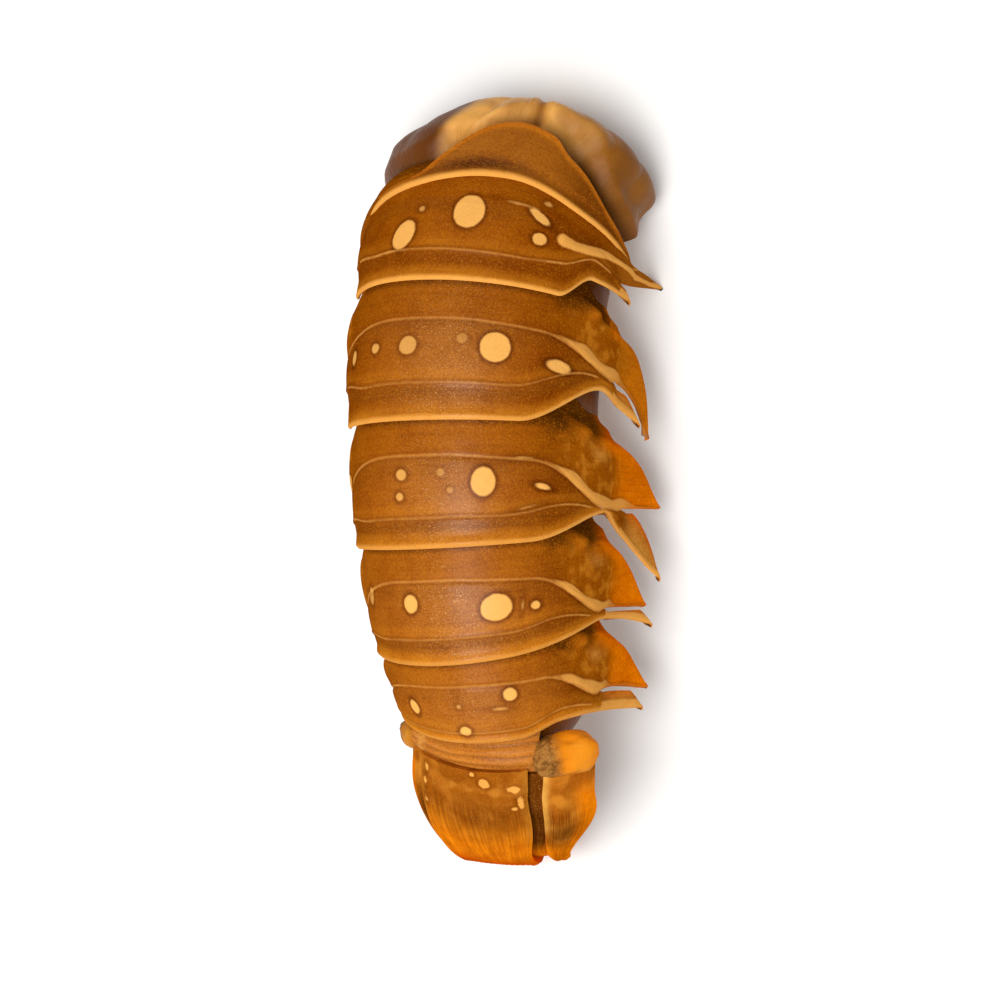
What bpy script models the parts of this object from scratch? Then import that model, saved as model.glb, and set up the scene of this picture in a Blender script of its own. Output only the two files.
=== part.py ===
"""Raw spiny lobster tail with its fan curled under, as solids in metres, +Z up, cut end towards +Y."""
import math
import random
from collections import namedtuple

import bmesh
import bpy
import numpy as np
from mathutils import Vector

MM = 0.001

# Lengths along the back of the six shell rings, cut end first, and their half widths, in millimetres.
RING_LENGTHS = (9.5, 26.0, 30.0, 27.0, 25.0, 18.5)
RING_HALF_WIDTHS = (29.0, 29.8, 29.6, 28.9, 27.0, 24.2)
ARCH = 0.92               # height of the arch of the back, as a share of the half width
SHELL = 1.1               # thickness of the shell
HIDDEN = 3.5              # how far a ring reaches under the ring before it
FACET_DEPTH = 2.1         # how deep the hidden edge of a ring lies under the ring before it
JOINTS = [sum(RING_LENGTHS[:k]) for k in range(len(RING_LENGTHS) + 1)]
MIDDLES = [(a + b) / 2 for a, b in zip(JOINTS, JOINTS[1:])]
RINGS_END = JOINTS[-1]

# The back rises from the cut end, levels out and dives into the fan, which curls under. Degrees at
# stations along the back line, in millimetres.
PITCH_STATIONS = (-5.0, 5.0, 23.0, 51.0, 79.5, 105.5, 127.0, 141.0, 150.0, 188.0, 206.0, 260.0)
PITCH_DEGREES = (-34.6, -31.6, -22.6, -13.6, -5.6, 3.4, 15.4, 23.4, 29.4, 83.4, 180.0, 180.0)
YAW_STATIONS = (0.0, 40.0, 90.0, 120.0, 136.0, 150.0, 180.0, 260.0)
YAW_DEGREES = (12.0, 3.5, -3.0, -7.0, -3.0, 5.0, 1.0, 0.0)
WIDTH_STATIONS = (0.0, *MIDDLES, RINGS_END, 160.0)
WIDTHS = (28.5, *RING_HALF_WIDTHS, 22.5, 19.5)

# How far the side blades lean out over a drop of 18 mm, right and left.
FLARE_STATIONS = (20.0, 50.0, 78.0, 105.0, 127.0)
RIGHT_FLARE = (6.0, 6.5, 4.5, 5.5, 7.5)
LEFT_FLARE = 2.0

# The side blades of a ring: a spike in front, its back edge the end of the groove across the ring, and
# a tooth behind, its back edge the end of the lip. Angles round the ring in degrees, the rest in shares
# of its length. They part at the neck. hook and back say how sharply the spike's edges turn backwards.
Blades = namedtuple("Blades", (
    "neck", "groove_neck", "lip_from", "lip_to", "lip_neck",
    "spike", "spike_end", "hook", "back", "tooth", "tooth_end",
))
RIGHT_BLADES = {
    1: Blades(78.0, 0.58, 41.0, 58.0, 0.74, 121.5, 0.05, 2.5, 1.5, 97.0, 0.76),
    2: Blades(83.0, 0.56, 28.0, 72.0, 0.68, 117.0, 1.04, 9.0, 3.0, 107.0, 0.90),
    3: Blades(100.0, 0.78, 34.0, 80.0, 0.80, 131.0, 0.82, 2.9, 1.5, 130.0, 1.75),
    4: Blades(85.0, 0.84, 22.0, 76.0, 0.93, 126.0, 1.14, 2.9, 1.3, 124.0, 1.34),
    5: Blades(80.0, 0.86, 22.0, 44.0, 0.92, 130.0, 1.38, 2.9, 1.3, 119.0, 1.50),
}
LEFT_NECK = 90.0          # the left blades part lower, so that the lip runs on to there
LEFT_LIP_FROM = 74.0
GROOVE = 0.27             # the groove's place along a ring in the middle of the back
TOOTH_LIFT = 2.2          # how far a tooth's tip stands out from the ring behind it
SCATTER = (3.0, 0.05)     # degrees and share by which the left blades differ from the right ones

# The fan: its start and end along the back line, its curve from side to side in 1/mm, and its twist to
# the left in degrees about a line TWIST_DEPTH under the back.
FAN_START = RINGS_END + 7.0
FAN_END = 212.0
SAG_STATIONS = (130.0, 142.0, 175.0, 198.0, 206.0)
SAG_CURVES = (1 / 24, 1 / 24, 1 / 40, 1 / 160, 0.0)
TWIST_STATIONS = (126.0, 141.0, 150.0, 184.0)
TWIST_DEGREES = (0.0, 12.0, 12.0, 0.0)
TWIST_DEPTH = 20.7
SHIFT_STATIONS = (141.0, 184.0)
SHIFTS = (0.0, 3.0)       # how far the fan's middle lies to the left of the back line
CORE_DEPTH = 3.9          # how deep the flesh lies under the surface of the shell
SEED = 11


def walk_back():
    """Stations along the back line and its points, by adding up short steps."""
    step = 0.25
    stations = np.arange(-24.0, 262.0, step)
    pitch = np.radians(np.interp(stations, PITCH_STATIONS, PITCH_DEGREES))
    yaw = np.radians(np.interp(stations, YAW_STATIONS, YAW_DEGREES))
    heading = np.stack([-np.sin(yaw) * np.cos(pitch), -np.cos(yaw) * np.cos(pitch), -np.sin(pitch)], 1)
    return stations, np.cumsum(heading, 0) * step


STATIONS, BACK_LINE = walk_back()


def axes_at(along):
    """The back line's point, and the directions back, right and up, at a station."""
    point = Vector(np.interp(along, STATIONS, BACK_LINE[:, k]) for k in range(3))
    pitch = math.radians(np.interp(along, PITCH_STATIONS, PITCH_DEGREES))
    yaw = math.radians(np.interp(along, YAW_STATIONS, YAW_DEGREES))
    level = math.cos(pitch)
    heading = Vector((-math.sin(yaw) * level, -math.cos(yaw) * level, -math.sin(pitch)))
    right = Vector((math.cos(yaw), -math.sin(yaw), 0.0))
    return point, heading, right, heading.cross(right)


def on_shell(along, degrees, lift=0.0):
    """A point of the shell: a station along the back, an angle round it, a height over its surface."""
    point, _, right, up = axes_at(along)
    width = float(np.interp(along, WIDTH_STATIONS, WIDTHS))
    flare = float(np.interp(along, FLARE_STATIONS, RIGHT_FLARE)) if degrees > 0 else LEFT_FLARE
    angle = min(abs(degrees), 90.0)
    drop = math.radians(abs(degrees) - angle) * width
    out = (width + lift) * math.sin(math.radians(angle)) + flare * (drop / 18.0) ** 1.3
    high = (width * ARCH + lift) * math.cos(math.radians(angle)) - width * ARCH - drop
    return point + right * math.copysign(out, degrees) + up * high


def fan_axes(along):
    """The fan's middle line and directions at a station: the back line's, twisted to the left."""
    point, heading, right, up = axes_at(along)
    twist = math.radians(float(np.interp(along, TWIST_STATIONS, TWIST_DEGREES)))
    twisted_up = up * math.cos(twist) - right * math.sin(twist)
    twisted_right = right * math.cos(twist) + up * math.sin(twist)
    shift = float(np.interp(along, SHIFT_STATIONS, SHIFTS))
    return point + (twisted_up - up) * TWIST_DEPTH - right * shift, heading, twisted_right, twisted_up


def on_fan(along, across, lift=0.0):
    """A point of the fan: a station along the back line, a distance right of it, a height over it."""
    point, _, right, up = fan_axes(along)
    sag = across * across / 2 * float(np.interp(along, SAG_STATIONS, SAG_CURVES))
    return point + right * across + up * (lift - sag)


def ease(x):
    x = min(max(x, 0.0), 1.0)
    return x * x * (3 - 2 * x)


def first_sweep(angle):
    """How far back the sides of the first ring lie, in millimetres."""
    turn = abs(angle) / 90.0
    return 9.0 * (turn ** 2 if turn < 1 else 1 - 3.4 * (turn - 1))


def ring_front(angle):
    """Where the first ring's front edge lies at an angle round it, right positive, in millimetres."""
    return first_sweep(angle) + 0.66 * RING_LENGTHS[0] * ease(abs(angle) / (80.0 if angle < 0 else 52.0))


def lip_line(ring, angle, blades):
    """Where a ring ends, in millimetres from its start: the lip, then the tooth's back edge."""
    retreat = ease((angle - blades.lip_from) / (blades.lip_to - blades.lip_from))
    beyond = max(0.0, (angle - blades.lip_to) / (blades.tooth - blades.lip_to))
    share = 1 + (blades.lip_neck - 1) * retreat + (blades.tooth_end - blades.lip_neck) * beyond ** 1.5
    return RING_LENGTHS[ring] * share


def groove_line(ring, angle, blades):
    """The groove across the back, then the spike's back edge."""
    if angle <= blades.neck:
        turn = max(0.0, (angle - 25.0) / (blades.neck - 25.0)) ** 2.4
        return RING_LENGTHS[ring] * (GROOVE + (blades.groove_neck - GROOVE) * turn)
    beyond = ((angle - blades.neck) / (blades.spike - blades.neck)) ** blades.back
    return RING_LENGTHS[ring] * (blades.groove_neck + (blades.spike_end - blades.groove_neck) * beyond)


def tooth_line(ring, angle, blades):
    """The tooth's front edge, from the neck to its tip, always behind the spike."""
    length = RING_LENGTHS[ring]
    beyond = ((angle - blades.neck) / (blades.tooth - blades.neck)) ** 2.6
    edge = length * (blades.groove_neck + (blades.tooth_end - blades.groove_neck) * beyond)
    gap = 0.05 * length * min(1.0, (angle - blades.neck) / 6.0)
    return max(edge, groove_line(ring, min(angle, blades.spike), blades) + gap)


def front_line(ring, angle, blades):
    """A ring's front edge: hidden under the ring before it, then bare as the spike's round front."""
    length = RING_LENGTHS[ring]
    if ring == 1:
        edge = first_sweep(angle) - HIDDEN
        bare = edge + 1.5 * ease((angle - 84.0) / 14.0)
    else:
        edge = -HIDDEN
        bare = edge + (HIDDEN + 0.08 * length) * ease((angle - 48.0) / 26.0)
    beyond = max(0.0, (angle - 60.0) / (blades.spike - 60.0)) ** blades.hook
    return bare + (blades.spike_end * length - bare) * beyond


def facet_lift(share):
    """Height over the shell's surface from a ring's hidden edge to its groove."""
    return -FACET_DEPTH + 1.6 * ease(share * 1.1) + 0.35 * ease((share - 0.8) / 0.2)


def plate_lift(share):
    """Height over the shell's surface from a ring's groove to its lip."""
    return 0.35 * math.sin(math.pi * share) - 0.05 + 0.3 * ease((share - 0.85) / 0.15)


def shown(name, bm, colour, roughness):
    """An object with its own material from a finished bmesh."""
    mesh = bpy.data.meshes.new(name)
    bm.to_mesh(mesh)
    bm.free()
    thing = bpy.data.objects.new(name, mesh)
    bpy.context.collection.objects.link(thing)
    material = bpy.data.materials.new(name)
    material.use_nodes = True
    shader = material.node_tree.nodes["Principled BSDF"]
    shader.inputs["Base Color"].default_value = (*colour, 1.0)
    shader.inputs["Roughness"].default_value = roughness
    mesh.materials.append(material)
    mesh.shade_smooth()
    mesh.set_sharp_from_angle(angle=math.radians(40))
    return thing


class Sheet:
    """A curved sheet in a bmesh. Each point knows where the underside lies, which close() adds."""

    def __init__(self):
        self.bm = bmesh.new()
        self.under = self.bm.verts.layers.float_vector.new("under")

    def point(self, top, bottom):
        vertex = self.bm.verts.new(top * MM)
        vertex[self.under] = bottom * MM
        return vertex

    def fill(self, rows):
        """Quads between rows of points."""
        for near, far in zip(rows, rows[1:]):
            for k in range(len(near) - 1):
                self.bm.faces.new((near[k], near[k + 1], far[k + 1], far[k]))

    def close(self):
        grown = bmesh.ops.extrude_face_region(self.bm, geom=self.bm.faces[:], use_keep_orig=True)
        for vertex in grown["geom"]:
            if isinstance(vertex, bmesh.types.BMVert):
                vertex.co = vertex[self.under]
        bmesh.ops.recalc_face_normals(self.bm, faces=self.bm.faces[:])
        bmesh.ops.triangulate(self.bm, faces=self.bm.faces[:])
        return self.bm


def spread(low, high, count):
    return [low + (high - low) * k / count for k in range(count + 1)]


FLESH_COLUMNS = 22
CORE_STEPS = 24
BLADE_SHARES = [0.95 * (1 - (1 - k / 5) ** 1.4) for k in range(1, 6)]
LOBE_ROWS = (0, .07, .16, .26, .36, .46, .55, .63, .70, .76, .82, .87, .92, .97, 1)
FACET_ROWS = (0.0, 0.35, 0.7, 0.9, 1.0)
PLATE_ROWS = (0.0, 0.12, 0.45, 0.72, 0.9, 1.0)
SHELL_COLOUR = (0.30, 0.12, 0.025)


def ring_plate(ring, right, left):
    """One shell ring with its side blades."""
    start = JOINTS[ring]
    sheet = Sheet()

    def place(angle, offset, lift):
        along = start + offset
        return sheet.point(on_shell(along, angle, lift), on_shell(along, angle, lift - SHELL))

    def row_of(near_line, far_line, lift_at, share, angles, stand=0.0):
        points = []
        for angle in angles:
            blades = right if angle >= 0 else left
            near = near_line(ring, abs(angle), blades)
            far = far_line(ring, abs(angle), blades)
            up = stand * ease((abs(angle) - blades.neck) / 40.0)
            points.append(place(angle, near + (far - near) * share, lift_at(share) + up))
        return points

    core = spread(-left.neck, right.neck, CORE_STEPS)
    core_front = [row_of(front_line, groove_line, facet_lift, share, core) for share in FACET_ROWS]
    core_back = [row_of(groove_line, lip_line, plate_lift, share, core) for share in PLATE_ROWS[1:]]
    core_back.insert(0, core_front[-1])
    sheet.fill(core_front)
    sheet.fill(core_back)
    for side, blades in ((1, right), (-1, left)):
        edge = -1 if side > 0 else 0
        spike = [side * (blades.neck + (blades.spike - blades.neck) * k) for k in BLADE_SHARES]
        tooth = [side * (blades.neck + (blades.tooth - blades.neck) * k) for k in BLADE_SHARES]
        rows = [[row[edge], *row_of(front_line, groove_line, facet_lift, share, spike)]
                for row, share in zip(core_front, FACET_ROWS)]
        sheet.fill(rows)
        rows = [[row[edge], *row_of(tooth_line, lip_line, plate_lift, share, tooth, TOOTH_LIFT)]
                for row, share in zip(core_back, PLATE_ROWS)]
        sheet.fill(rows)
    return shown(f"ring_{ring + 1}", sheet.close(), SHELL_COLOUR, 0.35)


def first_ring():
    """The narrow ring at the cut end: a crescent over the flesh, narrower towards its ends."""
    sheet = Sheet()
    length = RING_LENGTHS[0]
    rows = []
    for share in (0.0, 0.3, 0.7, 0.9, 1.0):
        row = []
        for angle in spread(-96.0, 96.0, 24):
            front = ring_front(angle)
            along = front + (length + first_sweep(angle) - front) * share
            lift = 0.3 * ease((share - 0.8) / 0.2)
            row.append(sheet.point(on_shell(along, angle, lift), on_shell(along, angle, lift - SHELL)))
        rows.append(row)
    sheet.fill(rows)
    return shown("ring_1", sheet.close(), SHELL_COLOUR, 0.35)


def hinge():
    """The short band between the last ring and the fan."""
    sheet = Sheet()
    rows = []
    for share in spread(0.0, 1.0, 6):
        along = RINGS_END - 2.0 + 8.6 * share
        lift = -2.4 + 1.9 * ease((share - 0.2) / 0.8) + 0.25 * math.sin(share * 21.0)
        rows.append([sheet.point(on_fan(along, across, lift), on_fan(along, across, lift - 1.0))
                     for across in spread(-14.0, 12.0, 10)])
    sheet.fill(rows)
    return shown("hinge", sheet.close(), SHELL_COLOUR, 0.45)


def lobe(name, start, end, inner, outer, lift, thick, columns, waves):
    """One lobe of the fan. inner and outer are its margins across the fan, from base to tip."""
    sheet = Sheet()
    phase = waves.uniform(0.0, 6.0)
    places = spread(0.0, 1.0, len(outer) - 1)
    rows = []
    for share in LOBE_ROWS:
        along = start + (end - start) * share
        near, far = float(np.interp(share, places, inner)), float(np.interp(share, places, outer))
        middle, half = (near + far) / 2, (far - near) / 2
        half *= math.sqrt(1 - max(0.0, (share - 0.86) / 0.145) ** 2)
        row = []
        for k in range(columns + 1):
            side = 2 * k / columns - 1
            wave = 0.10 * math.sin(phase + side * 5.0) * ease(share * 2.0) * ease((206.0 - along) / 10.0)
            high = lift + wave
            low = high - thick * (1 - 0.35 * share)
            across = middle + half * side
            row.append(sheet.point(on_fan(along, across, high), on_fan(along, across, low)))
        rows.append(row)
    sheet.fill(rows)
    return shown(name, sheet.close(), (0.42, 0.15, 0.02), 0.4)


def knob(name, along, across, lift, size):
    """The stout joint that carries the side lobes of the fan."""
    bm = bmesh.new()
    bmesh.ops.create_uvsphere(bm, u_segments=14, v_segments=8, radius=1.0)
    _, heading, right, up = fan_axes(along)
    slope = across * float(np.interp(along, SAG_STATIONS, SAG_CURVES))
    side = (right - up * slope).normalized()
    out = heading.cross(side).normalized()
    middle = on_fan(along, across, lift)
    for vertex in bm.verts:
        x, y, z = (math.copysign(abs(c) ** 0.8, c) for c in vertex.co)
        lump = 1 + 0.05 * math.sin(5 * x + 2.0) * math.cos(4 * y)
        offset = side * x * size[0] + heading * y * size[1] + out * z * size[2]
        vertex.co = (middle + offset * lump) * MM
    bmesh.ops.recalc_face_normals(bm, faces=bm.faces[:])
    bmesh.ops.triangulate(bm, faces=bm.faces[:])
    return shown(name, bm, (0.40, 0.17, 0.03), 0.45)


def core_section(along, share):
    """Points round the flesh at a station, from the right side over the back, shrunk to a share of
    full size. In front of the first ring it swells to the outside of the shell and a little over it."""
    point, _, right, up = axes_at(along)
    width = float(np.interp(along, WIDTH_STATIONS, WIDTHS))
    high = width * ARCH
    belly = 5.5 + 1.1 * math.cos((along - JOINTS[1]) * 2 * math.pi / 26.0)
    point = point + right * 4.0 * ease(-along / 9.0)
    middle = point - up * (high * 0.62)
    points = []
    for degrees in spread(0.0, 360.0, FLESH_COLUMNS)[:-1]:
        turn = math.radians(degrees)
        out, rise = math.cos(turn), math.sin(turn)
        if rise >= 0:
            swell = ease((ring_front(90.0 - degrees) - 3.2 - along) / 6.0)
            depth = CORE_DEPTH * (1 - swell) - 1.0 * swell * (out > 0)
            spot = right * ((width - depth) * out) + up * ((high - depth) * rise - high)
        else:
            swell = ease((ring_front(90.0) - 3.2 - 5.0 * min(1.0, -3 * rise) - along) / 6.0)
            depth = CORE_DEPTH * (1 - swell) - 1.0 * swell * (out > 0)
            low = belly * rise * (1 - 0.35 * rise * rise)
            spot = right * ((width - depth) * out) + up * (low - high)
        points.append(middle + (point + spot - middle) * share)
    return points


def flesh(waves):
    """The meat that fills the shell and swells out of its cut end."""
    bm = bmesh.new()
    ends = ((-13.5, 0.30), (-12.0, 0.56), (-8.5, 0.80), (-4.0, 0.94))
    body = [(along, 1.0) for along in spread(0.0, RINGS_END - 1.0, 26)]
    stations = [*ends, *body, (140.5, 0.9), (144.5, 0.8), (148.0, 0.6)]
    turn = waves.uniform(0.0, 6.0)
    rings = []
    for along, share in stations:
        section = core_section(along, share)
        middle = sum(section, Vector()) / FLESH_COLUMNS
        swell = 0.035 if along < 0 else 0.0
        ring = []
        for k, spot in enumerate(section):
            lump = 1 + swell * math.sin(4 * math.pi * k / FLESH_COLUMNS + turn)
            ring.append(bm.verts.new((middle + (spot - middle) * lump) * MM))
        rings.append(ring)
    for near, far in zip(rings, rings[1:]):
        for k in range(FLESH_COLUMNS):
            bm.faces.new((near[k], near[(k + 1) % FLESH_COLUMNS], far[(k + 1) % FLESH_COLUMNS], far[k]))
    bm.faces.new(rings[0])
    bm.faces.new(rings[-1])
    bmesh.ops.recalc_face_normals(bm, faces=bm.faces[:])
    bmesh.ops.triangulate(bm, faces=bm.faces[:])
    return shown("flesh", bm, (0.45, 0.28, 0.12), 0.4)


def swimmeret(name, along, side, waves):
    """A soft leaf under the belly, leaning back."""
    point, heading, right, up = axes_at(along)
    high = float(np.interp(along, WIDTH_STATIONS, WIDTHS)) * ARCH
    root = point - up * (high + 3.8) + right * side * 12.5
    down = (heading * 0.75 - up * 0.55 + right * side * 0.12).normalized()
    wide = (right * side * 0.9 + heading * 0.25).normalized()
    out = down.cross(wide).normalized()
    sheet = Sheet()
    rows = []
    for share in spread(0.0, 1.0, 5):
        half = 4.8 * math.sin(math.pi * min(0.12 + 0.8 * share, 0.96)) + 0.4
        row = []
        for k in spread(-1.0, 1.0, 3):
            wave = 0.7 * math.sin(3.0 * share + 2.0 * k + waves) * share
            spot = root + down * (15.0 * share) + wide * (half * k) + out * wave
            row.append(sheet.point(spot + out * 0.35, spot - out * 0.35))
        rows.append(row)
    sheet.fill(rows)
    return shown(name, sheet.close(), (0.50, 0.24, 0.06), 0.5)


def cut_flat(thing, level):
    """Cuts off what reaches below a level and closes the cut."""
    bm = bmesh.new()
    bm.from_mesh(thing.data)
    parts = [*bm.verts, *bm.edges, *bm.faces]
    cut = bmesh.ops.bisect_plane(
        bm, geom=parts, plane_co=(0, 0, level), plane_no=(0, 0, -1), clear_outer=True,
    )
    edges = [part for part in cut["geom_cut"] if isinstance(part, bmesh.types.BMEdge)]
    bmesh.ops.holes_fill(bm, edges=edges, sides=0)
    bmesh.ops.triangulate(bm, faces=bm.faces[:])
    bm.to_mesh(thing.data)
    bm.free()


def settle(things):
    """Moves all points so that the whole stands on z = 0, centred over the origin."""
    points = [vertex.co for thing in things for vertex in thing.data.vertices]
    low = [min(point[k] for point in points) for k in range(3)]
    high = [max(point[k] for point in points) for k in range(3)]
    shift = Vector((-(low[0] + high[0]) / 2, -(low[1] + high[1]) / 2, -low[2]))
    for point in points:
        point += shift
    return shift


bpy.context.scene.unit_settings.system = "METRIC"
for thing in list(bpy.data.objects):
    bpy.data.objects.remove(thing)

scatter = random.Random(SEED)
first_ring()
for ring, right in RIGHT_BLADES.items():
    turn, shift = (scatter.uniform(-1, 1) * amount for amount in SCATTER)
    left = right._replace(
        neck=LEFT_NECK, lip_from=LEFT_LIP_FROM, lip_to=LEFT_NECK, spike_end=right.spike_end + shift,
        spike=right.spike + turn, tooth=max(right.tooth, 113.0) + turn,
    )
    ring_plate(ring, right, left)
hinge()
TELSON_HALF = (11.6, 13.3, 12.2, 10.4, 9.0)
lobe("telson", FAN_START, FAN_END, [-half for half in TELSON_HALF], TELSON_HALF, 0.0, 1.3, 9, scatter)
SIDE_START = {"right": 147.3, "left": 148.4}
SIDE_INNER = (15.2, 15.2, 13.8, 12.0, 10.6)
SIDE_OUTER = {"right": (22.5, 25.0, 21.5, 17.5, 14.5), "left": (19.5, 19.2, 17.2, 15.0, 13.4)}
for name, side in (("right", 1), ("left", -1)):
    start = SIDE_START[name]
    inner = [side * across for across in SIDE_INNER]
    outer = [side * across for across in SIDE_OUTER[name]]
    lobe(f"exopod_{name}", start, 208.0, inner, outer, -0.3, 1.2, 5, scatter)
    under = [across - side * 2.5 for across in outer]
    lobe(f"endopod_{name}", start + 0.2, 209.5, [side * 3.5] * 5, under, -2.0, 1.1, 5, scatter)
knob("protopod_right", 141.7, 20.4, -1.6, (7.6, 5.2, 4.4))
knob("protopod_left", 142.0, -19.4, -2.6, (4.4, 3.4, 3.2))
flesh(scatter)
for pair, along in enumerate(MIDDLES[1:5]):
    swimmeret(f"swimmeret_{pair + 1}_right", along, 1, scatter.uniform(0.0, 6.0))
    swimmeret(f"swimmeret_{pair + 1}_left", along, -1, scatter.uniform(0.0, 6.0))

ground = min(vertex.co.z for vertex in bpy.data.objects["telson"].data.vertices)
cut_flat(bpy.data.objects["ring_2"], ground)
SHIFT = settle(list(bpy.data.objects))
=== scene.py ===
import math

import bpy
import numpy as np
from mathutils import Matrix, Vector


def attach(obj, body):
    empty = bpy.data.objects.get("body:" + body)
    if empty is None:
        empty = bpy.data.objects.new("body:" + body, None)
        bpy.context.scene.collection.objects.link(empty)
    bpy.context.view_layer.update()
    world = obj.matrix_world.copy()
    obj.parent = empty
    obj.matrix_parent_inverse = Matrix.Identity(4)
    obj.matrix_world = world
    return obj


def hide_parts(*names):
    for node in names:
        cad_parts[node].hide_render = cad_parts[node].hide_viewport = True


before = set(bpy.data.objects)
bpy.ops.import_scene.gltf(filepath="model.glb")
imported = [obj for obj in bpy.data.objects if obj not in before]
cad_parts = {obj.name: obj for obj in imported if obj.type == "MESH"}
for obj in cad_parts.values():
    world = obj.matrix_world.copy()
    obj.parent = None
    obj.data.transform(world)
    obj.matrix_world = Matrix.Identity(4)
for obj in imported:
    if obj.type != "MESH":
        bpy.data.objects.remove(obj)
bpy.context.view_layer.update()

MM = 0.001

# The tail's own measures, in millimetres and degrees along its back line.
RING_LENGTHS = (9.5, 26.0, 30.0, 27.0, 25.0, 18.5)
RING_HALF_WIDTHS = (29.0, 29.8, 29.6, 28.9, 27.0, 24.2)
ARCH, WALL, HIDDEN, FACET_DEPTH, TOOTH_LIFT, GROOVE = 0.92, 0.6, 3.5, 2.1, 2.2, 0.27
JOINTS = [sum(RING_LENGTHS[:k]) for k in range(len(RING_LENGTHS) + 1)]
MIDDLES = [(a + b) / 2 for a, b in zip(JOINTS, JOINTS[1:])]
RINGS_END = JOINTS[-1]
PITCH = (
    (-5.0, 5.0, 23.0, 51.0, 79.5, 105.5, 127.0, 141.0, 150.0, 188.0, 206.0, 260.0),
    (-34.6, -31.6, -22.6, -13.6, -5.6, 3.4, 15.4, 23.4, 29.4, 83.4, 180.0, 180.0),
)
YAW = (
    (0.0, 40.0, 90.0, 120.0, 136.0, 150.0, 180.0, 260.0),
    (12.0, 3.5, -3.0, -7.0, -3.0, 5.0, 1.0, 0.0),
)
WIDTH = ((0.0, *MIDDLES, RINGS_END, 160.0), (28.5, *RING_HALF_WIDTHS, 22.5, 19.5))
RIGHT_FLARE = ((20.0, 50.0, 78.0, 105.0, 127.0), (6.0, 6.5, 4.5, 5.5, 7.5))
LEFT_FLARE = 2.0
SAG = ((130.0, 142.0, 175.0, 198.0, 206.0), (1 / 24, 1 / 24, 1 / 40, 1 / 160, 0.0))
TWIST = ((126.0, 141.0, 150.0, 184.0), (0.0, 12.0, 12.0, 0.0))
TWIST_DEPTH = 20.7
SIDEWAYS = ((141.0, 184.0), (0.0, 3.0))
CORE_DEPTH = 3.9
PLACE = np.array((8.049, 98.266, 16.097))   # the back line's start

# Colours, linear.
BROWN = (0.35, 0.086, 0.001)
# The next colour is a painted sheen: lighter, pinker brown for the middle of the back.
SHEEN_TINT = (0.44, 0.150, 0.022)
# The next colour is painted shade for the sides of the back; it also darkens a band on the second ring.
DEEP = (0.24, 0.047, 0.0)
# The next colour is a painted shadow, for just under the lip of the part before.
UNDER_LIP_SHADOW = (0.10, 0.026, 0.001)
UMBER = (0.24, 0.066, 0.004)
TAN = (0.38, 0.108, 0.002)
GLOW = (0.64, 0.215, 0.012)
CREAM = (0.86, 0.385, 0.075)
SPOT = (0.92, 0.45, 0.105)
ORANGE = (0.80, 0.150, 0.001)
VIVID = (0.82, 0.110, 0.0)
MEAT = (0.88, 0.44, 0.105)
MEAT_BROWN = (0.36, 0.13, 0.012)


def between(x, low, high):
    """0 below low, 1 above high, smooth in between."""
    t = np.clip((x - low) / (high - low), 0.0, 1.0)
    return t * t * (3 - 2 * t)


def hump(x, middle, half):
    return np.exp(-(((x - middle) / half) ** 2))


STEP = 0.25   # mm along the back line, from one station of a table to the next
FAR = 6.0     # mm, further than any line or spot shows


def soft(table, reach=5.0):
    """A table of stations and values with its corners rounded off."""
    stations = np.arange(-40.0, 280.0, STEP)
    values = np.interp(stations, *table)
    count = int(reach / STEP) * 2 + 1
    padded = np.pad(values, count // 2, mode="edge")
    return stations, np.convolve(padded, np.ones(count) / count, "valid")


WIDTH, RIGHT_FLARE, SAG, SIDEWAYS = soft(WIDTH), soft(RIGHT_FLARE), soft(SAG), soft(SIDEWAYS)


def directions(along):
    """The directions back along the tail and to its right at stations, as rows."""
    pitch, yaw = np.radians(np.interp(along, *PITCH)), np.radians(np.interp(along, *YAW))
    level = np.cos(pitch)
    heading = np.stack([-np.sin(yaw) * level, -np.cos(yaw) * level, -np.sin(pitch)], -1)
    return heading, np.stack([np.cos(yaw), -np.sin(yaw), np.zeros_like(yaw)], -1)


def walk_back():
    stations = np.arange(-24.0, 262.0, STEP)
    return stations, np.cumsum(directions(stations)[0], 0) * STEP


STATIONS, BACK_LINE = walk_back()


def axes_at(along):
    """Points of the back line and the directions back, right and up there, as rows."""
    point = np.stack([np.interp(along, STATIONS, BACK_LINE[:, k]) for k in range(3)], -1)
    heading, right = directions(along)
    return point, heading, right, np.cross(heading, right)


def on_shell(along, degrees, lift):
    """Points of the shell: stations along the back, angles round it, heights over its surface."""
    point, _, right, up = axes_at(along)
    width = np.interp(along, *WIDTH)
    flare = np.where(degrees > 0, np.interp(along, *RIGHT_FLARE), LEFT_FLARE)
    angle = np.minimum(np.abs(degrees), 90.0)
    drop = np.radians(np.abs(degrees) - angle) * width
    out = (width + lift) * np.sin(np.radians(angle)) + flare * (drop / 18.0) ** 1.3
    high = (width * ARCH + lift) * np.cos(np.radians(angle)) - width * ARCH - drop
    return point + right * (np.sign(degrees) * out)[:, None] + up * high[:, None]


def on_fan(along, across, lift):
    """Points of the fan: stations along the back line, distances right of it, heights over it."""
    point, _, right, up = axes_at(along)
    twist = np.radians(np.interp(along, *TWIST))[:, None]
    turned_up = up * np.cos(twist) - right * np.sin(twist)
    turned_right = right * np.cos(twist) + up * np.sin(twist)
    middle = point + (turned_up - up) * TWIST_DEPTH - right * np.interp(along, *SIDEWAYS)[:, None]
    sag = across * across / 2 * np.interp(along, *SAG)
    return middle + turned_right * across[:, None] + turned_up * (lift - sag)[:, None]


def ripple(points, size, seed=0.0):
    """Smooth unevenness between -1 and 1 over points in millimetres, in lumps of about that size."""
    x, y, z = (points / size * 2.2 + seed).T
    wave = np.sin(x + 1.7 * np.sin(y * 0.9)) + np.sin(y * 1.13 + 1.5 * np.sin(z * 1.1 + 0.4))
    wave += np.sin(z * 1.07 + 1.6 * np.sin(x * 0.83 + 1.3))
    return wave / 3


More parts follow.
